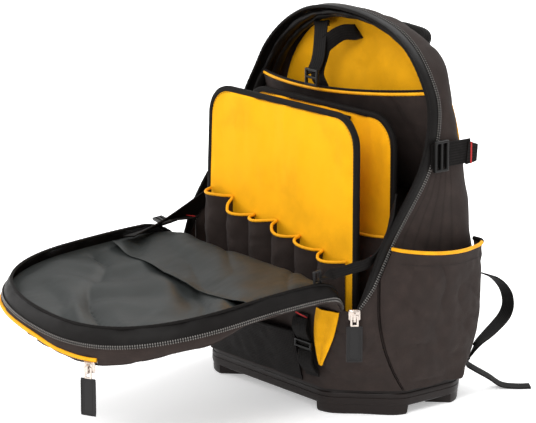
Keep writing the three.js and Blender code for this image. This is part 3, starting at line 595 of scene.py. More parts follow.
def block(name, low, high, bevel, segments=3):
    """A box between two corners, in millimetres, with its edges bevelled in edit mode"""
    low, high = Vector(low), Vector(high)
    deselect()
    bpy.ops.mesh.primitive_cube_add(size=1)
    obj = bpy.context.object
    obj.name = name
    obj.scale = (high - low) * MM
    bpy.ops.object.transform_apply(scale=True)
    edit_all(obj, (bpy.ops.mesh.bevel, {"offset": bevel * MM, "segments": segments}))
    obj.location = (low + high) / 2 * MM
    bpy.ops.object.transform_apply(location=True)
    return obj


def turned(obj, along, up, out, at):
    """Turns a piece that was modelled flat in XY, and puts it at a place"""
    only(obj)
    basis = Matrix((along, up, out)).transposed().to_4x4()
    obj.matrix_world = Matrix.Translation(Vector(at) * MM + tray_middle()) @ basis
    bpy.ops.object.transform_apply(location=True, rotation=True, scale=True)
    return obj


def joined(name, parts):
    deselect()
    for part in parts:
        part.select_set(True)
    bpy.context.view_layer.objects.active = parts[0]
    bpy.ops.object.join()
    parts[0].name = name
    return parts[0]


def dress(obj, material, slot, *nodes, body="pack"):
    """Gives a piece its finish, its body, and the frame nodes that it stands for"""
    obj.data.materials.clear()
    obj.data.materials.append(finish_of(material))
    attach(obj, body)
    if nodes:
        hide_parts(*nodes)
    return obj


def puffs(place, size, amount, seed=0.0):
    """Soft unevenness of cloth, from -amount to amount"""
    at = Vector(place) / size + Vector((seed, seed * 1.7, seed * 0.3))
    return noise.fractal(at, 0.9, 2.0, 3) * amount


def crease(place, size, amount, seed=0.0):
    """Sharp folds that run between rounded fields"""
    at = Vector(place) / size + Vector((seed * 2.1, seed, seed * 1.3))
    return -amount * (1 - min(abs(noise.noise(at)) * 3.2, 1)) ** 2


def seam_fade(share, width):
    """0 at the two seams of a cloth and 1 a little way in"""
    return clamp(min(share, 1 - share) / width)


def through(points, step, count):
    """Smooth line through every step-th point and the last one"""
    return catmull(list(points[::step]) + [points[-1]], count)


# Finishes
def new_finish(name):
    """A new material, with short ways to add its nodes, to set its sockets and to reach its shader"""
    material = bpy.data.materials.new(name)
    material.use_nodes = True
    tree = material.node_tree
    shader = tree.nodes["Principled BSDF"]

    def node(kind, *inputs, **settings):
        made = tree.nodes.new(kind)
        named = {}
        for key, value in settings.items():
            if hasattr(made, key) and key not in made.inputs:
                setattr(made, key, value)
            else:
                named[key] = value
        for i, value in enumerate(inputs):
            put(made.inputs[i], value)
        for key, value in named.items():
            put(made.inputs[key.replace("_", " ")], value)
        return made

    def put(socket, value):
        if isinstance(value, bpy.types.NodeSocket):
            tree.links.new(value, socket)
        elif value is not None:
            socket.default_value = value

    return material, node, put, shader


def math_node(node, operation, a, b=None):
    made = node("ShaderNodeMath", operation=operation)
    for i, value in enumerate((a, b)):
        if isinstance(value, bpy.types.NodeSocket):
            made.id_data.links.new(value, made.inputs[i])
        elif value is not None:
            made.inputs[i].default_value = value
    return made.outputs[0]


def ramp(node, factor, *stops):
    made = node("ShaderNodeValToRGB")
    made.id_data.links.new(factor, made.inputs[0])
    elements = made.color_ramp.elements
    while len(elements) < len(stops):
        elements.new(0.5)
    for element, (at, colour) in zip(elements, stops):
        element.position = at
        element.color = (*colour, 1)
    return made.outputs[0]


def shade(colour, share):
    return tuple(min(c * share, 1) for c in colour)


def thread_pattern(node, uv, across, along):
    """Height of a plain weave whose threads lie across and along the cloth, in metres"""
    parts = node("ShaderNodeSeparateXYZ", uv)
    turns = []
    for axis, pitch in ((0, across), (1, along)):
        angle = math_node(node, "MULTIPLY", parts.outputs[axis], math.pi / pitch)
        turns.append(math_node(node, "SINE", angle))
    return math_node(node, "ABSOLUTE", math_node(node, "MULTIPLY", *turns))


def cloth_finish(name, colour, thread=0.0011, rough=0.82, bump=0.35, mottle=0.35, gloss=0.22,
                 coarse=0.02, tint_share=1.5):
    """Woven cloth: threads, uneven dye, and a slightly rubbed surface"""
    material, node, put, shader = new_finish(name)
    uv = node("ShaderNodeTexCoord").outputs["UV"]
    solid = node("ShaderNodeTexCoord").outputs["Object"]
    weave = thread_pattern(node, uv, thread, thread)
    fibre = node("ShaderNodeTexNoise", solid, Scale=900, Detail=3).outputs["Fac"]
    stain = node("ShaderNodeTexNoise", solid, Scale=1 / coarse, Detail=5, Roughness=0.6).outputs["Fac"]
    mix = math_node(node, "ADD", math_node(node, "MULTIPLY", stain, 1 - mottle),
                    math_node(node, "MULTIPLY", fibre, mottle))
    base = ramp(node, mix, (0.30, shade(colour, 0.78)), (0.52, colour),
                (0.74, shade(colour, tint_share)))
    dark = node("ShaderNodeMix", data_type="RGBA", blend_type="MULTIPLY")
    made = ramp(node, weave, (0.0, (0.62, 0.62, 0.62)), (0.45, (1, 1, 1)))
    put(dark.inputs[0], 1.0)
    put(dark.inputs[6], base)
    put(dark.inputs[7], made)
    put(shader.inputs["Base Color"], dark.outputs[2])
    put(shader.inputs["Roughness"], rough)
    put(shader.inputs["Specular IOR Level"], gloss)
    height = math_node(node, "ADD", weave, math_node(node, "MULTIPLY", fibre, 0.6))
    lump = node("ShaderNodeBump", Strength=bump, Distance=0.0004, Height=height)
    put(shader.inputs["Normal"], lump.outputs[0])
    return material


def ribbed_finish(name, colour, rib=0.0016, ridge=0.0032, rough=0.7, bump=0.6):
    """Webbing and binding tape: ribs across it and ridges along it"""
    material, node, put, shader = new_finish(name)
    uv = node("ShaderNodeTexCoord").outputs["UV"]
    solid = node("ShaderNodeTexCoord").outputs["Object"]
    weave = thread_pattern(node, uv, ridge, rib)
    worn = node("ShaderNodeTexNoise", solid, Scale=120, Detail=4).outputs["Fac"]
    base = ramp(node, math_node(node, "MULTIPLY", weave, worn),
                (0.0, shade(colour, 0.55)), (0.3, colour), (0.62, shade(colour, 1.9)))
    put(shader.inputs["Base Color"], base)
    put(shader.inputs["Roughness"], rough)
    put(shader.inputs["Specular IOR Level"], 0.1)
    lump = node("ShaderNodeBump", Strength=bump, Distance=0.0005, Height=weave)
    put(shader.inputs["Normal"], lump.outputs[0])
    return material


def net_finish(name, colour):
    """Knitted net: a lattice of threads over holes painted dark, for the dark cloth behind them and painted
    shade in the openings
    """
    material, node, put, shader = new_finish(name)
    uv = node("ShaderNodeTexCoord").outputs["UV"]
    cell = node("ShaderNodeTexVoronoi", feature="DISTANCE_TO_EDGE")
    put(cell.inputs["Vector"], uv)
    put(cell.inputs["Scale"], 380)
    put(cell.inputs["Randomness"], 0.12)
    edge = cell.outputs["Distance"]
    # the dark stop of the ramp is painted shade in the net's holes, darker than the cloth seen through them
    base = ramp(node, edge, (0.06, shade(colour, 3.2)), (0.2, shade(colour, 0.35)))
    put(shader.inputs["Base Color"], base)
    put(shader.inputs["Roughness"], 0.7)
    put(shader.inputs["Specular IOR Level"], 0.1)
    lump = node("ShaderNodeBump", Strength=0.8, Distance=0.0009, Height=edge)
    lump.invert = True
    put(shader.inputs["Normal"], lump.outputs[0])
    return material


def moulded_finish(name, colour, rough=0.45, grain=1500, bump=0.12, gloss=0.2):
    """Moulded plastic or rubber: fine grain, faint scuffs"""
    material, node, put, shader = new_finish(name)
    solid = node("ShaderNodeTexCoord").outputs["Object"]
    fine = node("ShaderNodeTexNoise", solid, Scale=grain, Detail=3).outputs["Fac"]
    scuff = node("ShaderNodeTexNoise", solid, Scale=60, Detail=6, Roughness=0.7).outputs["Fac"]
    base = ramp(node, scuff, (0.35, shade(colour, 0.85)), (0.62, colour), (0.8, shade(colour, 1.6)))
    put(shader.inputs["Base Color"], base)
    put(shader.inputs["Roughness"], ramp_value(node, scuff, rough - 0.07, rough + 0.12))
    put(shader.inputs["Specular IOR Level"], gloss)
    lump = node("ShaderNodeBump", Strength=bump, Distance=0.0003, Height=fine)
    put(shader.inputs["Normal"], lump.outputs[0])
    return material


def ramp_value(node, factor, low, high):
    made = node("ShaderNodeMapRange")
    made.id_data.links.new(factor, made.inputs[0])
    made.inputs["From Min"].default_value = 0.3
    made.inputs["From Max"].default_value = 0.7
    made.inputs["To Min"].default_value = low
    made.inputs["To Max"].default_value = high
    return made.outputs[0]


def nickel_finish(name, colour):
    """Cast nickel: bright, with fine scratches"""
    material, node, put, shader = new_finish(name)
    solid = node("ShaderNodeTexCoord").outputs["Object"]
    fine = node("ShaderNodeTexNoise", solid, Scale=700, Detail=4).outputs["Fac"]
    put(shader.inputs["Base Color"], ramp(node, fine, (0.3, shade(colour, 0.7)), (0.7, colour)))
    put(shader.inputs["Metallic"], 1.0)
    put(shader.inputs["Roughness"], ramp_value(node, fine, 0.2, 0.36))
    lump = node("ShaderNodeBump", Strength=0.1, Distance=0.0002, Height=fine)
    put(shader.inputs["Normal"], lump.outputs[0])
    return material


FINISHES = {
    "heavy cloth": lambda c: cloth_finish("heavy cloth", c.cloth),
    "yellow cloth": lambda c: cloth_finish("yellow cloth", c.yellow, rough=0.8, bump=0.2,
                                           mottle=0.2, gloss=0.1, coarse=0.09, tint_share=1.06),
    "yellow piping": lambda c: cloth_finish("yellow piping", c.piping, thread=0.0012, rough=0.6,
                                            bump=0.4, mottle=0.3, tint_share=1.2),
    "nylon lining": lambda c: cloth_finish("nylon lining", c.lining, thread=0.0008, rough=0.48,
                                           bump=0.08, mottle=0.15, gloss=0.14, coarse=0.05,
                                           tint_share=1.2),
    "nylon band": lambda c: cloth_finish("nylon band", c.webbing, thread=0.0008, rough=0.5,
                                         bump=0.15, mottle=0.3, gloss=0.12, tint_share=1.5),
    "strap webbing": lambda c: ribbed_finish("strap webbing", c.webbing),
    "binding": lambda c: ribbed_finish("binding", c.webbing, rib=0.0012, ridge=0.0018, bump=0.4),
    "net": lambda c: net_finish("net", c.mesh),
    "moulded tray": lambda c: moulded_finish("moulded tray", c.tray, rough=0.42),
    "buckle plastic": lambda c: moulded_finish("buckle plastic", c.plastic, rough=0.34, bump=0.06),
    "tag rubber": lambda c: moulded_finish("tag rubber", c.rubber, rough=0.55, bump=0.2),
    # zip coil: the teeth's light grey is partly a painted highlight
    "zip coil": lambda c: moulded_finish("zip coil", c.teeth, rough=0.38),
    "thread": lambda c: moulded_finish("thread", shade(c.webbing, 2.2), rough=0.7, bump=0.0),
    "cast nickel": lambda c: nickel_finish("cast nickel", c.nickel),
    "bar tack": lambda c: cloth_finish("bar tack", c.tack, thread=0.0009, rough=0.6, bump=0.6),
    "light tack": lambda c: cloth_finish("light tack", c.light_tack, thread=0.0009, rough=0.6,
                                         bump=0.6),
}


def finish_of(name):
    found = bpy.data.materials.get(name)
    return found or FINISHES[name](bpy.context.scene.bag_colours)


# Shared details
def welt(name, points, radius, material="yellow piping", slot="yellow_cloth", nodes=(), up=(0, 0, 1)):
    """Round piping along a seam, a little uneven as sewn cord is"""
    def lumps(t, angle):
        return 0.07 * radius * math.sin(t * len(points) * 1.9 + 2 * angle)
    obj = sweep(name, points, up, radius * 2, radius * 2, 2, 12, lumps)
    return dress(obj, material, slot, *nodes)


def coil(name, points, out, width=5.0, pitch=2.9):
    """One side of an open zip: a row of teeth across a narrow cord"""
    cord = sweep(name + "_cord", spaced(points, len(points)), (0, 0, 1), width * 0.5, 1.6, 2, 8)
    dress(cord, "nylon band", "webbing")
    # the teeth are lighter than the cord: their own grey with a painted highlight
    return stitch_row(name, points, out, pitch, width, 0.85, "zip coil", "webbing", True)


def small_bar(run, radius):
    """A stitch or tooth along X: a short five-sided rod whose ends are drawn in"""
    deselect()
    bpy.ops.mesh.primitive_cylinder_add(vertices=5, radius=radius * MM, depth=0.6 * run * MM,
                                        rotation=(0, math.radians(90), 0))
    bar = bpy.context.object
    bpy.ops.object.transform_apply(rotation=True)
    for end in (-1, 1):
        select_faces(bar, lambda face: face.normal.x * end > 0.9)
        bpy.ops.mesh.extrude_region_move(
            TRANSFORM_OT_translate={"value": (end * 0.2 * run * MM, 0, 0)})
        bpy.ops.transform.resize(value=(1, 0.25, 0.25), center_override=(end * run / 2 * MM, 0, 0))
        bpy.ops.object.mode_set(mode="OBJECT")
    return bar


def stitch_row(name, points, out, pitch=4.6, run=3.2, radius=0.34, material="thread",
               slot="webbing", crosswise=False):
    """A row of stitches or teeth: one small bar, copied along or across a seam"""
    count = max(int(path_length(points) / pitch), 2)
    line = spaced(points, count)
    bar = small_bar(run, radius)
    copies = []
    for i, (p, ahead) in enumerate(zip(line, directions(line))):
        lift = Vector(out(i / (count - 1)) if callable(out) else out).normalized()
        side = ahead.cross(lift).normalized()
        axes = (side, ahead, side.cross(ahead)) if crosswise else (ahead, side, side.cross(ahead))
        copy = bar.copy()
        copy.data = bar.data.copy()
        bpy.context.collection.objects.link(copy)
        copy.matrix_world = (Matrix.Translation(p * MM + tray_middle())
                             @ Matrix(axes).transposed().to_4x4())
        copies.append(copy)
    bpy.data.objects.remove(bar)
    obj = joined(name, copies)
    bpy.ops.object.transform_apply(location=True, rotation=True, scale=True)
    edit_all(obj, (bpy.ops.mesh.normals_make_consistent, {"inside": False}))
    return dress(obj, material, slot)


def webbing_strap(name, points, wide, width, wall, nodes=(), material="strap webbing", power=9):
    count = max(int(path_length(points) / 2.5), 6)
    line = spaced(points, count)
    obj = sweep(name, line, wide, width, wall, power, 20)
    return dress(obj, material, "webbing", *nodes)


def bar_tack(name, at, across, ahead, width=16, run=2.2, material="bar tack"):
    """A dense bar of zigzag stitches across a strap"""
    at, across = Vector(at), Vector(across).normalized()
    line = spaced([at - across * width / 2, at + across * width / 2], 28)

    def zig(t, angle):
        return 0.22 * math.sin(t * 27 * math.pi)
    obj = sweep(name, line, ahead, run, 0.9, 4, 8, zig)
    return dress(obj, material, "webbing")


def ladder_frame(name, width, height, wall, bars=1, rim=3.2, bar=3.0):
    """A moulded frame with slots, flat in XY: a grid whose slot faces are deleted"""
    inner = width - 2 * rim
    slot = (inner - bars * bar) / (bars + 1)
    xs = [-width / 2]
    x = -width / 2 + rim
    for i in range(bars + 1):
        xs += [x, x + slot]
        x += slot + bar
    xs.append(width / 2)
    ys = [-height / 2, -height / 2 + rim, height / 2 - rim, height / 2]
    deselect()
    bpy.ops.mesh.primitive_grid_add(x_subdivisions=len(xs) - 1, y_subdivisions=3, size=1)
    obj = bpy.context.object
    obj.name = name
    for vertex in obj.data.vertices:
        i = round((vertex.co.x + 0.5) * (len(xs) - 1))
        j = round((vertex.co.y + 0.5) * 3)
        vertex.co = Vector((xs[i], ys[j], -wall / 2)) * MM

    def in_slot(face):
        x, y = face.center.x / MM, face.center.y / MM
        return abs(y) < height / 2 - rim and any(a < x < b for a, b in zip(xs[1:-1:2], xs[2:-1:2]))
    select_faces(obj, in_slot)
    bpy.ops.mesh.delete(type="FACE")
    bpy.ops.object.mode_set(mode="OBJECT")
    apply_modifier(obj, "SOLIDIFY", thickness=wall * MM, offset=1)
    apply_modifier(obj, "BEVEL", width=min(wall, rim) * 0.3 * MM, segments=3,
                   limit_method="ANGLE")
    only(obj)
    bpy.ops.object.shade_smooth_by_angle(angle=math.radians(40))
    return obj


# Body
class MakeTray(bpy.types.Operator):
    """Moulded tray: a tub with a stepped rim and a foot under each corner"""
    bl_idname = "bag.tray"
    bl_label = "Tray"

    def outline(self, inset, per_corner=10, per_side=10):
        x, y = HALF - inset, TRAY_FRONT - inset
        run = TRAY_CORNER - inset * 0.586
        turn = 16
        corners = []
        for sx, sy in ((1, 1), (-1, 1), (-1, -1), (1, -1)):
            a, b = Vector((x * sx, (y - run) * sy)), Vector(((x - run) * sx, y * sy))
            pair = [a, b] if sx * sy > 0 else [b, a]
            corners += pair
        line = []
        n = len(corners)
        for i, p in enumerate(corners):
            before = (corners[i - 1] - p).normalized()
            after = (corners[(i + 1) % n] - p).normalized()
            for t in shares(per_corner):
                line.append(p + before * turn * (1 - t) ** 2 + after * turn * t ** 2)
            end, start = p + after * turn, corners[(i + 1) % n] - after * turn
            line += [end.lerp(start, k / per_side) for k in range(1, per_side)]
        return line

    def execute(self, context):
        profile = [(30, FLOOR_TOP), (7, FLOOR_TOP), (5.6, FLOOR_TOP + 1.5), (5.4, TRAY_HEIGHT - 0.8),
                   (4.6, TRAY_HEIGHT), (2.7, TRAY_HEIGHT), (2.0, TRAY_HEIGHT - 0.7),
                   (2.0, TRAY_HEIGHT - 4), (1.7, TRAY_HEIGHT - 4.5), (0.6, TRAY_HEIGHT - 4.7),
                   (0.1, TRAY_HEIGHT - 5.4), (0, TRAY_HEIGHT - 9), (0.7, TRAY_HEIGHT - 9.4),
                   (0.7, TRAY_HEIGHT - 10.4), (0, TRAY_HEIGHT - 10.8), (0, FOOT + 4.5),
                   (0.8, FOOT + 1.6), (2.6, FOOT + 0.2), (6, FOOT), (30, FOOT)]
        grid = []
        for inset, z in profile:
            ring = self.outline(inset)
            grid.append([(p.x, p.y, z) for p in ring + ring[:1]])
        obj = closed_shell("tray_shell", grid)
        feet = []
        for sx in (1, -1):
            for sy in (1, -1):
                feet.append(self.foot(sx, sy))
        tray = joined("tray", [obj] + feet)
        only(tray)
        bpy.ops.object.shade_smooth_by_angle(angle=math.radians(35))
        dress(tray, "moulded tray", "tray", "base_tray")
        return {"FINISHED"}

    def foot(self, sx, sy):
        """A foot: the tray's corner outline, cut off square and rounded at its ends"""
        ring = self.outline(1.2)
        keep_x, keep_y = HALF - TRAY_CORNER - 17, TRAY_FRONT - TRAY_CORNER - 12
        outer = [p for p in ring if p.x * sx > keep_x and p.y * sy > keep_y]
        outer.sort(key=lambda p: math.atan2(p.y * sy - keep_y, p.x * sx - keep_x))
        middle = Vector((sx * (HALF - TRAY_CORNER * 0.62), sy * (TRAY_FRONT - TRAY_CORNER * 0.62)))
        deep = 40
        inner = []
        for p in outer:
            out = Vector((sx, sy)).normalized()
            inner.append(p - out * deep * 0.8)
        levels = [(FOOT + 1.5, 0), (6, 0.2), (2.6, 0.7), (0.9, 1.9), (0.05, 3.4)]
        grid = []
        for z, inset in levels:
            loop = outer + inner[::-1]
            centre = sum(loop, Vector((0, 0))) / len(loop)
            ring3 = []
            for p in loop:
                way = (centre - p).normalized()
                q = p + way * inset
                ring3.append((q.x, q.y, z))
            grid.append(ring3 + ring3[:1])
        return closed_shell("foot", grid)


def closed_shell(name, grid):
    """A closed solid through rings, with a face over each end ring"""
    grid = np.array(grid, float)
    rows, cols = grid.shape[:2]
    v, u = arc_lengths(grid)
    obj, place = primitive_cloth(name, rows, cols)
    set_places(obj, grid.reshape(-1, 3)[place])
    lay_uv(obj.data, np.tile(u, rows)[place], np.repeat(v, cols)[place])
    edit_all(obj, (bpy.ops.mesh.remove_doubles, {"threshold": 1e-6}),
             (bpy.ops.mesh.fill_holes, {"sides": 0}),
             (bpy.ops.mesh.normals_make_consistent, {"inside": False}))
    return obj


class MakeBody(bpy.types.Operator):
    """Cloth body: the gusset over the arch, the back panel and the lower front"""
    bl_idname = "bag.body"
    bl_label = "Body"

    def side(self):
        grid = []
        for row in outline_rows(64, 130):
            z = row[1]
            start, end = cloth_front(z), back_y(z) - rear_run(z)
            flat = [inward(row, 0, lerp(start, end, t)) for t in shares(30)]
            turn = []
            for j in range(1, 15):
                inset, y = corner_at(z, j / 14, back_y(z), rear_run(z))
                turn.append(inward(row, inset, y))
            grid.append(flat + turn)

        def relief(v, u, p):
            fade = seam_fade(u, 0.08) * clamp((p[2] - 34) / 25)
            soft = puffs(p, 85, 3.2, 1.3) + crease((p[0], p[1] * 0.7 + p[2] * 0.35, p[2] * 0.6), 55, 1.6, 3)
            return (soft - 1.0) * fade
        cloth_piece("body_side", grid, WALL, relief, (0, 0, 1),
                    "heavy cloth", "cloth", "side_gusset")

    def back(self):
        rows = outline_rows(60, 120)[:60 + 61]
        grid = []
        for row in rows:
            x, y, z = inward(row, rear_run(row[1]) + SEAM_GAP * 0.4, back_y(row[1]))
            wide = max(x, 8)
            grid.append([(lerp(-wide, wide, t), y, z) for t in shares(40)])

        def relief(v, u, p):
            return puffs(p, 60, 1.2, 5) * seam_fade(u, 0.05)
        cloth_piece("body_back", grid, WALL, relief, (0, 1, 0),
                    "heavy cloth", "cloth", "back_panel")

    def front(self):
        grid = []
        for up in shares(48):
            right = [front_path(lerp(CLOTH_START, front_top(share), up), share) for share in shares(28)]
            left = [(-x, y, z) for x, y, z in reversed(right)]
            z = lerp(CLOTH_START, HINGE, up)
            flat = HALF - corner_run(z)
            middle = [(lerp(flat, -flat, k / 40), front_y(z), z) for k in range(1, 40)]
            grid.append(right + middle + left)

        def relief(v, u, p):
            fade = clamp(v / 0.1) * clamp((1 - v) / 0.06) * seam_fade(u, 0.05)
            diagonal = (p[0] * 0.6 + p[2] * 0.9, p[1] * 0.6, p[2] * 0.35 - p[0] * 0.3)
            return fade * (puffs(p, 55, 2.6, 2.2) + crease(diagonal, 38, 2.4, 4.1) - 0.8)
        cloth_piece("body_front", grid, WALL, relief, (0, -1, 0),
                    "heavy cloth", "cloth", "lower_front")

    def execute(self, context):
        self.side()
        self.back()
        self.front()
        return {"FINISHED"}


class MakeBodyZip(bpy.types.Operator):
    """Zip band round the opening, with its coil where it meets the cloth"""
    bl_idname = "bag.body_zip"
    bl_label = "Body zip"

    def edge(self):
        low = []
        for i in range(14):
            share = lerp(0.36, 0.02, i / 13)
            z = lerp(ZIP_LOW, ZIP_MEETS, (1 - share / ZIP_SHARE) ** 1.2)
            low.append((front_path(front_top(share) + GAP * 2, share), front_path(z, share)))
        high = []
        for row in outline_rows(90, 150):
            z = row[1]
            if z > max(CLOTH_MEETS, HINGE) and zip_y(z) > seam_y(z):
                high.append((inward(row, 0, cloth_front(z) - GAP * 5), inward(row, 0, zip_y(z))))
        mirrored = [((-a[0], a[1], a[2]), (-b[0], b[1], b[2])) for a, b in reversed(low)]
        return low + high + mirrored

    def execute(self, context):
        rows = self.edge()
        grid = []
        for cloth, free in rows:
            a, b = Vector(cloth), Vector(free)
            grid.append([tuple(a.lerp(b, t)) for t in shares(8)])

        def relief(v, u, p):
            return 1.4 * math.sin(math.pi * u) + puffs(p, 30, 0.9, 7) * u
        cloth_piece("body_zip_band", grid, THIN_WALL, relief, (0, 0, 1),
                    "nylon band", "webbing", "zip_tape")
        seam = [Vector(cloth).lerp(Vector(free), -0.02) for cloth, free in rows]
        line = through(seam, 3, 400)
        outward = [Vector((p.x, 0, max(p.z - SHOULDER, 0))).normalized() for p in line]
        raised = [p + o * 1.0 for p, o in zip(line, outward)]
        coil("body_zip_coil", raised, lambda t: outward[min(int(t * 399), 399)])
        # the facing's rolled free edge
        rim = [Vector(free) for _, free in rows]
        line = through(rim, 3, 420)
        welt("body_zip_binding", line, 2.0, "binding", "webbing")
        self.facing()
        return {"FINISHED"}

    def facing(self):
        """The facing behind the band, gathered into two soft rolls round the arch"""
        for number, (inset, back, radius) in enumerate(((8, 13, 3.6), (13, 25, 3.2))):
            rows = [row for row in outline_rows(60, 150) if row[1] > 285]
            line = [inward(row, inset, zip_y(row[1]) + back) for row in rows]
            path = through(line, 3, 300)

            def gather(t, angle):
                at = Vector((t * 26, math.cos(angle), math.sin(angle) + number * 5))
                return radius * 0.45 * noise.noise(at)
            roll = sweep(f"zip_facing_{number + 1}", path, (0, 1, 0), radius * 3.4, radius * 2, 2, 16,
                         gather)
            dress(roll, "nylon band", "webbing")


# Cover
class MakeCover(bpy.types.Operator):
    """Open cover: gusset, outer panel, outer pocket and the yellow piping at its tip"""
    bl_idname = "bag.cover"
    bl_label = "Cover"

    def gusset(self):
        grid = []
        for x, run in cover_outline(0):
            top, low = cover_base(x, run) - TAPE_DROP, cover_floor(x, run)
            grid.append([(x, cover_y(run), lerp(top, low, t)) for t in shares(10)])

        def relief(v, u, p):
            return 2.2 * math.sin(math.pi * u) + puffs(p, 34, 1.5, 9) + crease(p, 30, 1.3, 2)
        cloth_piece("cover_side", grid, WALL, relief, (0, -1, 0),
                    "heavy cloth", "cloth", "cover_gusset")

    def across(self, height, inset, cols=46, low=0.0):
        """Rows from side to side, at the heights that height(x, run, wide) gives"""
        grid = []
        for wide, run in cover_outline(inset, 40, 90):
            if wide > 5 and run >= low:
                places = [lerp(-wide, wide, t) for t in shares(cols)]
                grid.append([(x, cover_y(run), height(x, run, wide)) for x in places])
        return grid

    def execute(self, context):
        self.gusset()
        panel = self.across(lambda x, run, wide: cover_floor(x, run), WALL + GAP * 3)
        cloth_piece("cover_panel_cloth", panel, WALL, None, (0, 0, -1),
                    "heavy cloth", "cloth", "cover_panel")

        def pocket(x, run, wide):
            crown = (clamp(1 - (x / wide) ** 2) ** 0.8 * math.sqrt(clamp((run - 60) / 36))
                     * clamp((COVER_LENGTH - run) / 72) ** 0.8)
            return cover_floor(x, run) - GAP - WALL - 6 * crown
        grid = self.across(pocket, 1, 60, 60)

        def relief(v, u, p):
            return puffs(p, 70, 2.5, 4) + crease(p, 60, 1.5, 8) - 1
        cloth_piece("cover_pocket_cloth", grid, WALL, relief, (0, 0, -1),
                    "heavy cloth", "cloth", "cover_pocket")
        welt("cover_edge_piping", self.tip_line(2.5, 2.2, 260), size("piping"),
             nodes=("cover_piping",))
        coil("cover_pocket_coil", self.tip_line(0.6, -1.2, 300), (0.3, -1, -0.2), 3.4)
        return {"FINISHED"}

    def tip_line(self, out, up, count):
        """A line round the cover's tip, which rises a little towards the pocket's slider"""
        path = [(x, cover_y(run), cover_floor(x, run) + up + PIPING_LIFT * clamp((x + 60) / 160))
                for x, run in cover_outline(-out)
                if run > COVER_LENGTH * PIPING_SHARE and x < PIPING_END]
        return through(path, 2, count)


class MakeCoverZip(bpy.types.Operator):
    """The cover's half of the zip: a soft band that leans in, and its coil"""
    bl_idname = "bag.cover_zip"
    bl_label = "Cover zip"

    def execute(self, context):
        low, high = cover_outline(0.4), cover_outline(TAPE_LEAN)
        grid = []
        for (x, run), (ix, irun) in zip(low, high):
            a = Vector((x, cover_y(run), cover_base(x, run) - TAPE_DROP + GAP * 4))
            b = Vector((ix, cover_y(irun), cover_rim(ix, irun)))
            grid.append([tuple(a.lerp(b, t)) for t in shares(8)])

        def relief(v, u, p):
            return 1.5 * math.sin(math.pi * u) + puffs(p, 26, 1.3, 3) * (0.3 + u)
        cloth_piece("cover_zip_band", grid, THIN_WALL, relief, (0, -1, 0),
                    "nylon band", "webbing", "cover_zip_tape")
        seam = [(x, cover_y(run), cover_base(x, run) - TAPE_DROP + 0.6) for x, run in cover_outline(-1.0)]
        line = through(seam, 2, 500)
        middle = Vector((0, cover_y(COVER_STRAIGHT), line[250].z))
        outward = [(p - middle).normalized() for p in line]
        coil("cover_coil", line, lambda t: outward[min(int(t * 499), 499)])
        rim = [row[-1] for row in grid]
        welt("cover_rim_binding", through(rim, 3, 420), 2.0, "binding", "webbing")
        return {"FINISHED"}


def lining_height(x, run):
    wide = cover_half(run) - WALL - GAP * 4
    across = clamp(1 - (x / wide) ** 2)
    along = math.sin(math.pi * clamp((run + 30) / (COVER_LENGTH + 30)))
    return cover_top(x, run) - rim_dip(run) * 1.15 - 5 - 13 * across * along


class MakeLining(bpy.types.Operator):
    """Thin wrinkled lining inside the cover, and the loose pocket that lies on it"""
    bl_idname = "bag.lining"
    bl_label = "Cover lining"

    def wrinkles(self, p, edge):
        """Long soft folds across the cloth, and small creases that start at its seams"""
        x, y = p[0], p[1]
        drift = 30 * noise.noise(Vector((x, y, 5)) / 80)
        along, over = x * 0.83 - y * 0.56, x * 0.56 + y * 0.83
        folds = 10.0 * noise.noise(Vector(((over + drift) / 44, along / 190, 3.1)))
        cross = 7.0 * noise.noise(Vector(((along + drift) / 60, over / 150, 7.7)))
        sharp = crease((over * 1.1 + drift, along * 0.16, 9), 62, 4.5, 4.4)
        small = 1.0 * noise.noise(Vector((x / 9, y / 30, 1.3))) * edge
        return folds + cross + sharp + small

    def execute(self, context):
        edge = [(x, run) for x, run in cover_outline(LINING_INSET, 44, 110) if x > 4]
        cols = 120
        grid = []
        for wide, run in edge:
            places = [lerp(-wide, wide, t) for t in shares(cols)]
            grid.append([(x, cover_y(run), lining_height(x, run)) for x in places])

        def relief(v, u, p):
            fade = seam_fade(u, 0.06) * clamp((1 - v) / 0.05)
            edge = math.exp(-min(u, 1 - u) / 0.12) + math.exp(-(1 - v) / 0.1)
            return (self.wrinkles(p, edge) + 1.0) * fade
        obj = cloth_piece("cover_lining_cloth", grid, LINING_WALL, relief, (0, 0, 1),
                          "nylon lining", "lining", "cover_lining")
        self.pocket()
        return {"FINISHED"}

    def pocket(self):
        side = LINING_INSET + 10
        grid = []
        for down in shares(60):
            run = lerp(2, 118, down)
            wide = cover_half(run) - side
            row = []
            for t in shares(120):
                x = lerp(-wide, wide, t)
                slant = run * (1 + 0.16 * x / HALF)
                across = clamp(1 - (x / wide) ** 2)
                hollow = 3 + 8 * math.cos(slant / 118 * math.pi / 2)
                lift = 3.6 + 2.5 * math.exp(-slant / 20) + across * hollow
                row.append((x, cover_y(slant), lining_height(x, slant) + lift))
            grid.append(row)

        def relief(v, u, p):
            fade = seam_fade(u, 0.05)
            hem = 1.6 * math.exp(-((1 - v) / 0.05) ** 2)
            return fade * (0.7 * self.wrinkles((p[0] + 300, p[1] + 90, 0), 0.5) + 2.0) + hem
        obj = cloth_piece("cover_loose_pocket", grid, LINING_WALL, relief, (0, 0, 1),
                          "nylon lining", "lining", "cover_inner_pocket")


# Boards
def board_edge(h, height, side):
    """Distance from a board's middle line to its edge; the left one leans in"""
    half = size("board_width") / 2
    lean = BOARD_LEAN if side < 0 else 0
    if h < BOARD_TAPER:
        return half - 34 * (1 - h / BOARD_TAPER) - lean * h / height
    rise = clamp((h - BOARD_TAPER) / (height - BOARD_CORNER - BOARD_TAPER))
    straight = half - lerp(lean * BOARD_TAPER / height, lean, rise)
    over = max(h - (height - BOARD_CORNER), 0)
    return straight - BOARD_CORNER + math.sqrt(max(BOARD_CORNER ** 2 - over ** 2, 0))


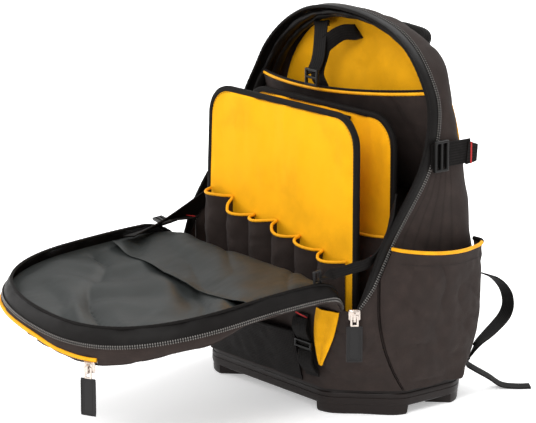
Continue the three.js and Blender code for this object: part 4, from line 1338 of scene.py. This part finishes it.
class MakeBoards(bpy.types.Operator):
    """The two tool boards with their bindings, tool pockets, piping and loops"""
    bl_idname = "bag.boards"
    bl_label = "Tool boards"

    def board(self, name, y, height, nodes):
        levels = [height * i / 70 for i in range(65)]
        levels += [height - BOARD_CORNER + BOARD_CORNER * math.sin(math.pi / 2 * i / 12) for i in range(13)]
        levels = sorted(set(levels))
        grid = []
        for h in levels:
            left, right = -board_edge(h, height, -1), board_edge(h, height, 1)
            grid.append([(BOARD_SHIFT + lerp(left, right, t), y - BOARD_WALL / 2,
                          FLOOR_TOP + GAP + h) for t in shares(60)])

        def relief(v, u, p):
            edge = seam_fade(u, 0.05) * clamp((1 - v) / 0.04)
            free = 0.3 + clamp((p[2] - 225) / 30)
            waves = puffs((p[0], p[1], p[2] * 0.3), 30, 1.6, 3) + 0.8 * math.sin(p[0] / 15 + p[2] / 50)
            return edge * free * waves
        cloth_piece(name, grid, BOARD_WALL, relief, (0, -1, 0),
                    "yellow cloth", "yellow_cloth", nodes)
        levels = [h for h in levels if h >= BOARD_TAPER]
        rim = [(BOARD_SHIFT + board_edge(h, height, 1), y, FLOOR_TOP + GAP + h) for h in levels]
        rim += [(BOARD_SHIFT - board_edge(h, height, -1), y, FLOOR_TOP + GAP + h)
                for h in reversed(levels)]
        path = spaced(rim, 260)
        middle = Vector((BOARD_SHIFT, y, 180))
        line = []
        for p, forward in zip(path, directions(path)):
            out = Vector((forward.z, 0, -forward.x))
            line.append(p + out * math.copysign(2.6, out.dot(p - middle)))

        def soft(t, angle):
            return 0.25 * noise.noise(Vector((t * 60, angle, 0)))
        tape = sweep(name + "_binding", line, (0, 1, 0), BOARD_WALL + 2.4, 7.4, 3.2, 16, soft)
        dress(tape, "binding", "webbing", nodes + "_binding")
        inner = [p.lerp(middle, 0.022) + Vector((0, -BOARD_WALL / 2 - 0.2, 0)) for p in line]
        stitch_row(name + "_edge_stitches", inner, (0, -1, 0), 4.2, 2.8, 0.3)

    def pockets(self, name, y, left, right, slots, bottom, top, depth, nodes, tiers=None):
        per = 16
        cols, rows = slots * per, 34
        face = y - BOARD_WALL / 2 - GAP * 2
        grid = []
        for up in shares(rows):
            row = []
            for t in shares(cols):
                x = lerp(left, right, t)
                bulge = abs(math.sin(t * slots * math.pi)) ** 0.7
                out = depth * bulge * (0.3 + 0.7 * math.sin(up * math.pi * 0.6))
                crown = tiers(x) if tiers else top(t)
                row.append((x, face - WALL - GAP - out, lerp(bottom, crown, up)))
            grid.append(row)

        def relief(v, u, p):
            fade = abs(math.sin(u * slots * math.pi)) ** 0.5 * clamp((1 - v) / 0.06)
            return fade * (puffs(p, 26, 1.6, 5) + crease(p, 24, 1.4, 2) - 0.4)
        cloth_piece(name + "_pockets", grid, WALL, relief, (0, -1, 0),
                    "heavy cloth", "cloth", nodes + "_tool_pockets")
        edge = [(p[0], p[1] + WALL / 2, p[2] + 1.6) for p in grid[-1]]
        welt(name + "_pocket_piping", through(edge, 2, cols * 3), 1.9,
             nodes=(nodes + "_pocket_piping",), up=(0, 1, 0))
        for k in range(1, slots):
            j = k * per
            seam = [Vector(grid[i][j]) + Vector((0, -0.3, 0)) for i in range(1, rows)]
            stitch_row(f"{name}_seam_{k}", spaced(seam, 40), (0, -1, 0))

    def execute(self, context):
        height = size("board_height")
        self.board("front_tool_board", FRONT_BOARD_Y, height, "front_board")
        self.board("rear_tool_board", REAR_BOARD_Y, height - 8, "rear_board")
        # x, height of the pockets' hem
        tier_table = [(-150, 231), (-139, 231), (-100, 229), (-86, 216), (-31, 213), (-10, 214),
                      (16, 204), (43, 202), (60, 199), (95, 189.5), (124, 188)]
        self.pockets("front_board", FRONT_BOARD_Y, -142, 124, 6, 84, None, 22, "front",
                     lambda x: smooth(tier_table, x))
        self.pockets("rear_board", REAR_BOARD_Y, -141, 126, 4, 70, lambda t: 210, 12, "rear")
        top = FLOOR_TOP + height - 12
        for name, x in (("left", -66), ("right", 52)):
            y = REAR_BOARD_Y - BOARD_WALL / 2 - GAP - 1.2
            path = catmull([(x, y, top), (x, y - 4, top - 12), (x + 2, y - 1, top - 34)], 24)
            webbing_strap(f"board_loop_{name}", path, (1, 0, 0), 20, 2,
                          (f"rear_board_loop_{name}",))
        return {"FINISHED"}


# Organiser
ORG_LOW = 250


def organiser_back_y(z):
    return back_y(z) - 14


class MakeOrganiser(bpy.types.Operator):
    """Organiser at the top: arched yellow back, net pocket, piping, two straps and a buckle"""
    bl_idname = "bag.organiser"
    bl_label = "Organiser"

    def execute(self, context):
        top = TOP - 12 - GAP
        levels = [lerp(ORG_LOW, top, 1 - (1 - t) ** 1.6) for t in shares(60)]
        grid = []
        for z in levels:
            wide = max(arch_half(z, 12), 26)
            grid.append([(lerp(-wide, wide, t), organiser_back_y(z), z) for t in shares(60)])

        def relief(v, u, p):
            return seam_fade(u, 0.05) * (puffs(p, 55, 1.8, 2) + crease(p, 60, 1.0, 7))
        cloth_piece("organiser_panel", grid, WALL, relief, (0, -1, 0),
                    "yellow cloth", "yellow_cloth", "organiser_back")
        self.pocket()
        self.straps()
        return {"FINISHED"}

    def mouth(self, t):
        z = lerp(366, 386, t) - 24 * t * (1 - t)
        y = 15 - 34 * math.sin(math.pi * t) ** 0.8
        return z, y

    def pocket(self):
        rows, cols = 30, 80
        grid = []
        for up in shares(rows):
            row = []
            for t in shares(cols):
                mouth_z, mouth_y = self.mouth(t)
                z = lerp(ORG_LOW, mouth_z, up)
                out = up ** 0.6 * min(1, 0.35 + 0.65 * up)
                wide = lerp(arch_half(z, 12), arch_half(z, WALL + GAP * 4), out)
                y = lerp(organiser_back_y(z) - WALL - GAP, mouth_y, out)
                row.append((lerp(-wide, wide, t), y, z))
            grid.append(row)

        def relief(v, u, p):
            pleat = 3.0 * math.exp(-((p[0] - 105 + (p[2] - 370) * 0.3) / 5) ** 2)
            return seam_fade(u, 0.05) * (puffs(p, 45, 2.0, 8) - pleat * clamp(v))
        cloth_piece("organiser_net", grid, WALL, relief, (0, -1, 0),
                    "heavy cloth", "mesh", "organiser_pocket")
        edge = [(p[0], p[1] + 1, p[2] + 2.5) for p in grid[-1][2:-2]]
        welt("organiser_mouth_piping", through(edge, 3, 200), size("piping"),
             nodes=("organiser_piping",), up=(0, 1, 0))
        rim = [(p[0], p[1] + 0.6, p[2] + 6.0) for p in grid[-1][2:-2]]
        welt("organiser_mouth_binding", through(rim, 3, 200), 1.6, "binding",
             "webbing", up=(0, 1, 0))

    def straps(self):
        mouth_z, mouth_y = self.mouth(0.5)
        top = TOP - 32
        front = organiser_back_y(top) - WALL - GAP
        lines = {
            "left": [(-76, front - 1.1, top - 3), (-76, front - 7, top - 3), (-57, 22, top + 3),
                     (-34, -2, 408), (-18, mouth_y - 6, 392)],
            "right": [(-12, front - 0.8, top - 4), (-12, front - 7, top - 4), (-22, 25, top - 5),
                      (-38, 12, 420), (-34, 2, 405), (-22, mouth_y + 6, 388),
                      (-14, mouth_y + 7, mouth_z + 5), (-12, mouth_y + 14, mouth_z - 12)],
        }
        level = Vector((1, 0.15, 0.1))
        slanted = {"left": level, "right": Vector((0.3, 0.75, -0.5))}
        for name, points in lines.items():
            webbing_strap(f"organiser_band_{name}", catmull(points, 60),
                          lambda t: slanted[name].lerp(level, clamp(t * 1.5)),
                          size("narrow_webbing"), 1.6,
                          (f"organiser_strap_{name}",))
        bar_tack("organiser_tack", (-60.5, 22.5, top + 0.5), level, (0, -0.6, -1), 19, 2.6,
                 "light tack")
        buckle = ladder_frame("organiser_lock", 22, 24, 4)
        turned(buckle, (0, 0, 1), (1, 0, 0), (0, 1, 0), (-12, mouth_y - 11.8, 388))
        dress(buckle, "buckle plastic", "plastic", "organiser_buckle")


# Lower front
class MakeLowerFront(bpy.types.Operator):
    """Net pocket, webbing with its buckle and tacks, and the folded yellow gusset"""
    bl_idname = "bag.lower_front"
    bl_label = "Lower front pieces"

    def execute(self, context):
        grid = []
        for up in shares(24):
            row = []
            for t in shares(60):
                x = lerp(-104, 74, t)
                z = lerp(CLOTH_START + 2, 98, up)
                swell = 9 * math.sin(math.pi * t) ** 0.6 * up
                row.append((x, front_surface(x, z) - WALL - GAP - swell, z))
            grid.append(row)

        def relief(v, u, p):
            return puffs(p, 30, 1.5, 3) * math.sin(math.pi * u)
        cloth_piece("front_net", grid, THIN_WALL, relief, (0, -1, 0),
                    "net", "mesh", "front_mesh_pocket")
        hem = [(p[0], p[1] - 0.2, p[2] + 1) for p in grid[-1]]
        welt("front_net_hem", catmull(hem[::3], 120), 2.2, "binding", "webbing", up=(0, 1, 0))
        self.strap()
        self.gusset()
        return {"FINISHED"}

    def strap(self):
        x, top, low = 92, 126, 47

        def place(z, out):
            return x + (top - z) * 0.08, front_surface(x, z) - out, z
        points = [place(z, 1.9 + 2.0 * math.sin((top - z) / (top - low) * math.pi))
                  for z in (126, 112, 98, 84, 70, 58, 47)]
        webbing_strap("front_band", catmull(points, 40), (1, 0, 0), size("webbing"), 2,
                      ("front_webbing",))
        for z in (108, 66):
            puff = [place(z + rise, 3.5 + 5 * math.cos(rise / 14 * math.pi / 2))
                    for rise in (13, 7, 0, -7, -13)]
            webbing_strap(f"front_puff_{z}", catmull(puff, 20), (1, 0, 0), 27, 3.0)
        buckle = ladder_frame("front_lock", 10, 31, 4, bars=0, rim=2.6)
        turned(buckle, (0, 0, 1), (1, 0, 0), (0, 1, 0), (x + 3, front_surface(x, 88) - 6, 88))
        dress(buckle, "buckle plastic", "plastic", "front_buckle")
        for k, z in enumerate((124, 80)):
            bar_tack(f"front_tack_{k}", place(z, 3.2), (1, 0, -0.12), (0, 0, 1), 22)

    def gusset(self):
        # height, left edge, right edge
        table = [(66, 116, 122), (84, 113, 134), (104, 113, 146), (124, 116, 154), (140, 120, 158)]
        left = [(z, a) for z, a, b in table]
        right = [(z, b) for z, a, b in table]
        grid = []
        for down in shares(30):
            z = lerp(140, 66, down)
            a, b = smooth(left, z), smooth(right, z)
            row = []
            for t in shares(16):
                x = lerp(a, b, t)
                row.append((x, front_surface(x, z) - WALL - GAP * 2 - 3 * math.sin(math.pi * t), z))
            grid.append(row)

        def relief(v, u, p):
            return math.sin(math.pi * u) * (puffs(p, 16, 1.6, 1) + 2.2 * math.sin(u * 6.0 + v * 2))
        cloth_piece("folded_gusset", grid, THIN_WALL, relief, (0, -1, 0),
                    "yellow cloth", "yellow_cloth", "yellow_gusset")


# Sides
class MakeSides(bpy.types.Operator):
    """Side pockets with piping, and the straps and buckles above them"""
    bl_idname = "bag.sides"
    bl_label = "Side pockets and straps"

    def pocket(self, name, side):
        rows, cols = 44, 72
        grid = []
        for up in shares(rows):
            row = []
            for t in shares(cols):
                z = lerp(CLOTH_START, 200 + 11 * (1 - t) ** 2, up)
                rear = back_y(z) - rear_run(z) * lerp(0.85, 0.3, up)
                start = cloth_front(z) + 1
                x, y, nx, ny = side_place(z, lerp(start, rear, t))
                swell = math.sin(math.pi * t) ** 0.6 * lerp(2, 33, up ** 0.8)
                out = WALL + GAP * 2 + swell
                row.append((side * (x + nx * out), y + ny * out, z))
            grid.append(row)

        def relief(v, u, p):
            fade = seam_fade(u, 0.07) * clamp((1 - v) / 0.08)
            slant = (p[1] * 0.55 + p[2] * 0.85, p[1] * 0.5, p[2] * 0.35 - p[1] * 0.3)
            return fade * (puffs(p, 48, 3.0, 6) + crease(slant, 40, 3.0, 5.2))
        cloth_piece(f"pocket_{name}", grid, WALL, relief, (side, 0, 0),
                    "heavy cloth", "cloth", f"side_pocket_{name}")
        edge = [(p[0] - side * 1, p[1], p[2] + 2.4) for p in grid[-1]]
        line = catmull(edge[::3], 200)
        welt(f"pocket_{name}_piping", line[:174], size("piping"), nodes=(f"side_pocket_piping_{name}",))
        welt(f"pocket_{name}_binding", line[173:], 2.7, "binding", "webbing",
             nodes=(f"side_pocket_piping_{name}",))
        seam = [Vector(p) + Vector((side * 0.4, 0, -5)) for p in grid[-3]]
        stitch_row(f"pocket_{name}_stitches", spaced(seam, 60), (side, 0, 0))

    def strap(self, name, side):
        z, out = 317, HALF + 1.6
        points = [(side * out, min(y, back_y(z) - REAR_CORNER + 28), z) for y in (-6, 10, 26, 42, 60)]
        webbing_strap(f"side_band_{name}", catmull(points, 40), (0, 0, 1), 30, 2.2,
                      (f"side_strap_{name}",))
        buckle = ladder_frame(f"side_lock_{name}", 22, 38, 5)
        turned(buckle, (0, 1, 0), (0, 0, 1), (1, 0, 0), (side * (out + 3.8), 7, z))
        dress(buckle, "buckle plastic", "plastic", f"side_buckle_{name}")
        end = points[-1][1]
        tab = [(side * (out + 1.4), end - 6, z - 2), (side * (out + 1.6), end + 3, z - 3),
               (side * (out + 0.6), end + 11, z - 4)]
        webbing_strap(f"side_tab_{name}", catmull(tab, 14), (0, -0.12, 1),
                      lambda t: lerp(29, 21, t), 2.2)
        bar_tack(f"side_tack_{name}", (side * (out + 2.6), end, z - 2.5), (0, 0, 1), (0, 1, 0), 27, 2.4)

    def execute(self, context):
        for name, side in (("right", 1), ("left", -1)):
            self.pocket(name, side)
            self.strap(name, side)
        return {"FINISHED"}


class MakeHoldingStraps(bpy.types.Operator):
    """Straps that hold the cover level from the body's sides"""
    bl_idname = "bag.holding_straps"
    bl_label = "Holding straps"

    def execute(self, context):
        inner = HALF - WALL - GAP - 2
        right = [(inner - 8.8, -172, cover_top(170, 45) + 9), (inner - 3, -150, 195),
                 (inner - 3, -122, 197), (inner - 1, -92, 203), (inner, -68, 236), (inner, -55, 278)]
        webbing_strap("cover_stay_right", catmull(right, 60), lambda t: (0.3 * t, 1 - t, 0.2 + t), 14, 1.8,
                      ("holding_strap_right",))
        left = [(-inner + 26.5, -214, cover_top(-155, 85) + 3), (-inner + 22.5, -170, 193.5),
                (-inner + 9, -120, 199), (-inner + 4, -84, 208), (-inner, -44, 222)]
        webbing_strap("cover_stay_left", catmull(left, 60), lambda t: (1 - t, 0, 0.2 + t), 24, 2,
                      ("holding_strap_left",))
        bar_tack("stay_tack", (inner - 1.6, -94, 202.5), (0.2, 0.2, 1), (0, 1, 0.1), 12, 2.4)
        lock = ladder_frame("stay_lock_right", 12, 20, 3, bars=0, rim=2.6)
        turned(lock, (0, 1, 0.1), (0, -0.1, 1), (1, 0, 0), (inner - 10.6, -168, 190.4))
        dress(lock, "tag rubber", "plastic")
        lock = ladder_frame("stay_lock_left", 14, 30, 4, rim=3)
        turned(lock, (0.2, 0.96, 0.15), (0.98, -0.2, 0), (0, -0.15, 0.99), (-inner + 19, -156, 197.5))
        dress(lock, "buckle plastic", "plastic")
        loose = catmull([(-inner + 19, -158, 197), (-inner + 17, -140, 196), (-inner + 13, -112, 193),
                         (-inner + 10, -100, 193)], 30)
        webbing_strap("stay_end_left", loose, (1, 0, 0.1), 22, 1.8)
        bar_tack("stay_end_tack", (-inner + 11.6, -106, 194.6), (1, 0, 0.1), (0, 1, 0), 20, 2.2)
        return {"FINISHED"}


# Back
class MakeBack(bpy.types.Operator):
    """Padded back, shoulder straps with their webbing and tails, and the haul handle"""
    bl_idname = "bag.back"
    bl_label = "Back and shoulder straps"

    def pad(self):
        grid = []
        for up in shares(60):
            z = lerp(84, 330, up)
            round_end = clamp(min(up, 1 - up) / 0.08)
            wide = (HALF - rear_run(z) - SEAM_GAP - 22) * lerp(0.86, 1, math.sqrt(round_end))
            row = []
            for t in shares(48):
                crown = 2 + 9 * (math.sin(math.pi * up) * math.sin(math.pi * t)) ** 0.4
                channel = 3.0 * math.exp(-((t - 0.5) / 0.05) ** 2)
                row.append((lerp(wide, -wide, t), back_y(z) + GAP + max(crown - channel, 1.4), z))
            grid.append(row)
        obj = cloth_piece("back_padding", grid, 1.2, lambda v, u, p: puffs(p, 30, 0.5, 3),
                          (0, 1, 0), "net", "mesh", "back_pad")

    def shoulder(self, name, side):
        def face(z):
            return back_y(z) + 11 + 6
        points = [(side * 74, back_y(408) + 6.6, 408), (side * 75, face(350) + 4, 350),
                  (side * 79, face(280) + 10, 280), (side * 85, face(210) + 14, 210),
                  (side * 97, face(158) + 13, 158)]
        line = catmull(points, 70)

        def width(t):
            return 66 * (0.72 + 0.28 * math.sin(math.pi * t) ** 0.5)
        obj = sweep(f"shoulder_padding_{name}", line, (1, 0, 0), width, 12, 3.4, 40,
                    lambda t, a: 0.5 * noise.noise(Vector((t * 14, a * 2, side))))
        dress(obj, "net", "mesh", f"shoulder_pad_{name}")
        end = line[-1]
        onward = (line[-1] - line[-2]).normalized()
        lower = [tuple(end + onward * run) for run in (0.9, 7, 15)]
        lower += [(side * 130, 152, 130), (side * 142, 163, 108), (side * 149, 151, 85),
                  corner_out(64, side, 7), corner_out(52, side, 1.3)]
        tangent = (Vector(corner_out(52, side, 1, 0.56)) - Vector(corner_out(52, side, 1, 0.44))) * -side
        tangent.normalize()
        webbing_strap(f"strap_band_{name}", catmull(lower, 80),
                      lambda t: Vector((1, 0, 0)).lerp(tangent, t * t), size("webbing"), 2,
                      (f"strap_webbing_{name}",))
        tail = [corner_out(46, side, 1.6), corner_out(36, side, 3), (side * 162, 114, 16),
                (side * 169, 130, 4), (side * 180, 144, 1.5), (side * 191, 159, 1.5)]
        webbing_strap(f"strap_end_{name}", catmull(tail, 60), tangent, size("narrow_webbing"), 2,
                      (f"strap_tail_{name}",))

    def handle(self):
        hold = back_y(404)
        half_grip = [(42, 1.8, 412), (44, 14, 415), (50, 32, 425), (44, 42, 433), (15, 44, 436)]
        points = [(-x, hold + y, z) for x, y, z in half_grip]
        points += [(x, hold + y, z) for x, y, z in reversed(half_grip)]
        obj = sweep("haul_loop", catmull(points, 90), (0.02, -0.8, 0.6), 16, 16, 2, 24,
                    lambda t, a: 0.3 * noise.noise(Vector((t * 20, math.cos(a), math.sin(a)))))
        dress(obj, "strap webbing", "webbing", "haul_handle")

    def execute(self, context):
        self.pad()
        for name, side in (("right", 1), ("left", -1)):
            self.shoulder(name, side)
        self.handle()
        return {"FINISHED"}


# Zip pulls
class MakePulls(bpy.types.Operator):
    """Zip sliders and the rubber tags that hang from them"""
    bl_idname = "bag.pulls"
    bl_label = "Zip pulls"

    def execute(self, context):
        joints = {joint["child"]: joint for joint in frame["joints"]}
        for name, body in (("front", "front_pull"), ("pocket", "pocket_pull")):
            joint = joints[body]
            along = -Vector(joint["axis"])
            pin = Vector(joint["pos_m"])
            out = along.cross(Vector((0, 0, 1))).normalized()
            self.slider(name, pin, along, out)
            self.tag(name, body, pin, along, out)
        return {"FINISHED"}

    def put(self, obj, pin, along, out):
        only(obj)
        basis = Matrix((along, Vector((0, 0, 1)), out)).transposed().to_4x4()
        obj.matrix_world = Matrix.Translation(pin) @ basis
        bpy.ops.object.transform_apply(location=True, rotation=True, scale=True)
        only(obj)
        bpy.ops.object.shade_smooth_by_angle(angle=math.radians(40))
        return obj

    def slider(self, name, pin, along, out):
        back = -6
        # name, low corner, high corner, bevel
        table = (("plate", (-7.2, -6.5, back), (7.2, 7, back + 4), 1.9),
                 ("dome", (-5.4, -4, back + 3), (5.4, 6, back + 5.4), 1.1),
                 ("bridge_low", (-1.4, -6.8, back + 3), (1.4, -5, back + 9.6), 0.5),
                 ("bridge_high", (-1.4, 2.4, back + 3), (1.4, 4.2, back + 9.6), 0.5),
                 ("bridge_bar", (-1.4, -6.8, back + 8), (1.4, 4.2, back + 9.6), 0.6))
        parts = [block(*row) for row in table]
        obj = joined(f"zip_slider_{name}", parts)
        self.put(obj, pin, along, out)
        dress(obj, "cast nickel", "nickel", f"slider_{name}")

    def tag(self, name, body, pin, along, out):
        ring_top, ring_low = 1.2, -13.2
        ring = ladder_frame("pull_ring", 10, ring_top - ring_low, 2.1, bars=0, rim=2.5)
        only(ring)
        ring.location = (0, (ring_top + ring_low) / 2 * MM, 0)
        bpy.ops.object.transform_apply(location=True)
        self.put(ring, pin, along, out)
        ring.name = f"pull_ring_{name}"
        dress(ring, "cast nickel", "nickel", body=body)
        low, high, wide = -size("pull_length"), -12.4, size("pull_width") / 2
        parts = [block("plate", (-wide, low, -1.1), (wide, high, 1.1), 1.0)]
        for inset, radius in ((1.2, 1.15), (4.2, 0.5)):
            parts.append(self.rim("rim", wide - inset, low + inset, high - inset, radius))
        tag = joined(f"pull_tag_{name}", parts)
        self.put(tag, pin, along, out)
        dress(tag, "tag rubber", "pull_rubber", f"pull_{name}", body=body)

    def rim(self, name, wide, low, high, radius):
        """A raised line on both faces of the tag, following its outline"""
        corner = 2.4
        points = []
        for cx, cy, start in ((wide - corner, high - corner, 0), (-wide + corner, high - corner, 90),
                              (-wide + corner, low + corner, 180), (wide - corner, low + corner, 270)):
            for k in range(5):
                a = math.radians(start + 22.5 * k)
                points.append(Vector((cx + corner * math.cos(a), cy + corner * math.sin(a), 0)))
        points.append(points[0])
        line = spaced(points, 80)
        obj = sweep(name, line, (0, 0, 1), 2.3 + radius, radius * 2, 3, 10)
        only(obj)
        obj.location = -tray_middle()
        bpy.ops.object.transform_apply(location=True)
        return obj


# Stage
class MakeStage(bpy.types.Operator):
    """Pale floor, soft studio light, and the camera at the photograph's angle"""
    bl_idname = "bag.stage"
    bl_label = "Stage"

    def area(self, name, at, target, sides, power):
        deselect()
        bpy.ops.object.light_add(type="AREA", location=at)
        lamp = bpy.context.object
        lamp.name = name
        lamp.data.shape = "RECTANGLE"
        lamp.data.size, lamp.data.size_y = sides
        lamp.data.energy = power
        way = Vector(target) - Vector(at)
        lamp.rotation_euler = way.to_track_quat("-Z", "Y").to_euler()

    def execute(self, context):
        deselect()
        bpy.ops.mesh.primitive_plane_add(size=30, location=(0, 0, 0))
        floor = bpy.context.object
        floor.name = "stage_floor"
        material = bpy.data.materials.new("pale floor")
        material.use_nodes = True
        shader = material.node_tree.nodes["Principled BSDF"]
        shader.inputs["Base Color"].default_value = (0.97, 0.97, 0.97, 1)
        shader.inputs["Roughness"].default_value = 0.9
        shader.inputs["Emission Color"].default_value = (1, 1, 1, 1)
        shader.inputs["Emission Strength"].default_value = 0.35
        floor.data.materials.append(material)
        world = bpy.data.worlds.new("studio")
        context.scene.world = world
        world.use_nodes = True
        world.node_tree.nodes["Background"].inputs[0].default_value = (1, 1, 1, 1)
        world.node_tree.nodes["Background"].inputs[1].default_value = 1.0
        # name, place, target, size, power
        for lamp in (("key", (1.6, -2.2, 2.6), (0, -0.1, 0.2), (1.2, 1.2), 62),
                     ("left", (-2.4, -1.6, 1.7), (0, -0.1, 0.25), (1.2, 1.8), 40),
                     ("back", (-0.6, 2.2, 2.6), (0, 0, 0.2), (2.0, 1.4), 50)):
            self.area(*lamp)
        context.scene.view_settings.view_transform = "Standard"
        self.camera(context)
        return {"FINISHED"}

    def camera(self, context):
        basis = Matrix((CAMERA_RIGHT, CAMERA_UP, -Vector(CAMERA_AHEAD))).transposed().to_4x4()
        deselect()
        bpy.ops.object.camera_add()
        camera = bpy.context.object
        camera.matrix_world = Matrix.Translation(Vector(CAMERA_PLACE) + tray_middle()) @ basis
        camera.data.sensor_width = SENSOR_WIDTH
        camera.data.lens = SENSOR_WIDTH * FOCAL_PIXELS / PHOTO_WIDTH
        context.scene.camera = camera


CLASSES = (BagSizes, BagColours, MakeTray, MakeBody, MakeBodyZip, MakeCover, MakeCoverZip,
           MakeLining, MakeBoards, MakeOrganiser, MakeLowerFront, MakeSides, MakeHoldingStraps,
           MakeBack, MakePulls, MakeStage)


class BagPanel(bpy.types.Panel):
    """Sizes, colours and the steps that build the bag"""
    bl_idname = "VIEW3D_PT_bag"
    bl_label = "Tool Backpack"
    bl_space_type = "VIEW_3D"
    bl_region_type = "UI"
    bl_category = "Backpack"

    def draw(self, context):
        for group in (context.scene.bag_sizes, context.scene.bag_colours):
            box = self.layout.box()
            for key in group.bl_rna.properties.keys():
                if key not in {"rna_type", "name"}:
                    box.prop(group, key)
        for made in CLASSES[2:]:
            self.layout.operator(made.bl_idname)


def register():
    for made in CLASSES + (BagPanel,):
        bpy.utils.register_class(made)
    bpy.types.Scene.bag_sizes = PointerProperty(type=BagSizes)
    bpy.types.Scene.bag_colours = PointerProperty(type=BagColours)


def unregister():
    del bpy.types.Scene.bag_colours
    del bpy.types.Scene.bag_sizes
    for made in reversed(CLASSES + (BagPanel,)):
        bpy.utils.unregister_class(made)


def main():
    register()
    for made in CLASSES[2:]:
        group, name = made.bl_idname.split(".")
        getattr(getattr(bpy.ops, group), name)()


if __name__ == "__main__":
    main()
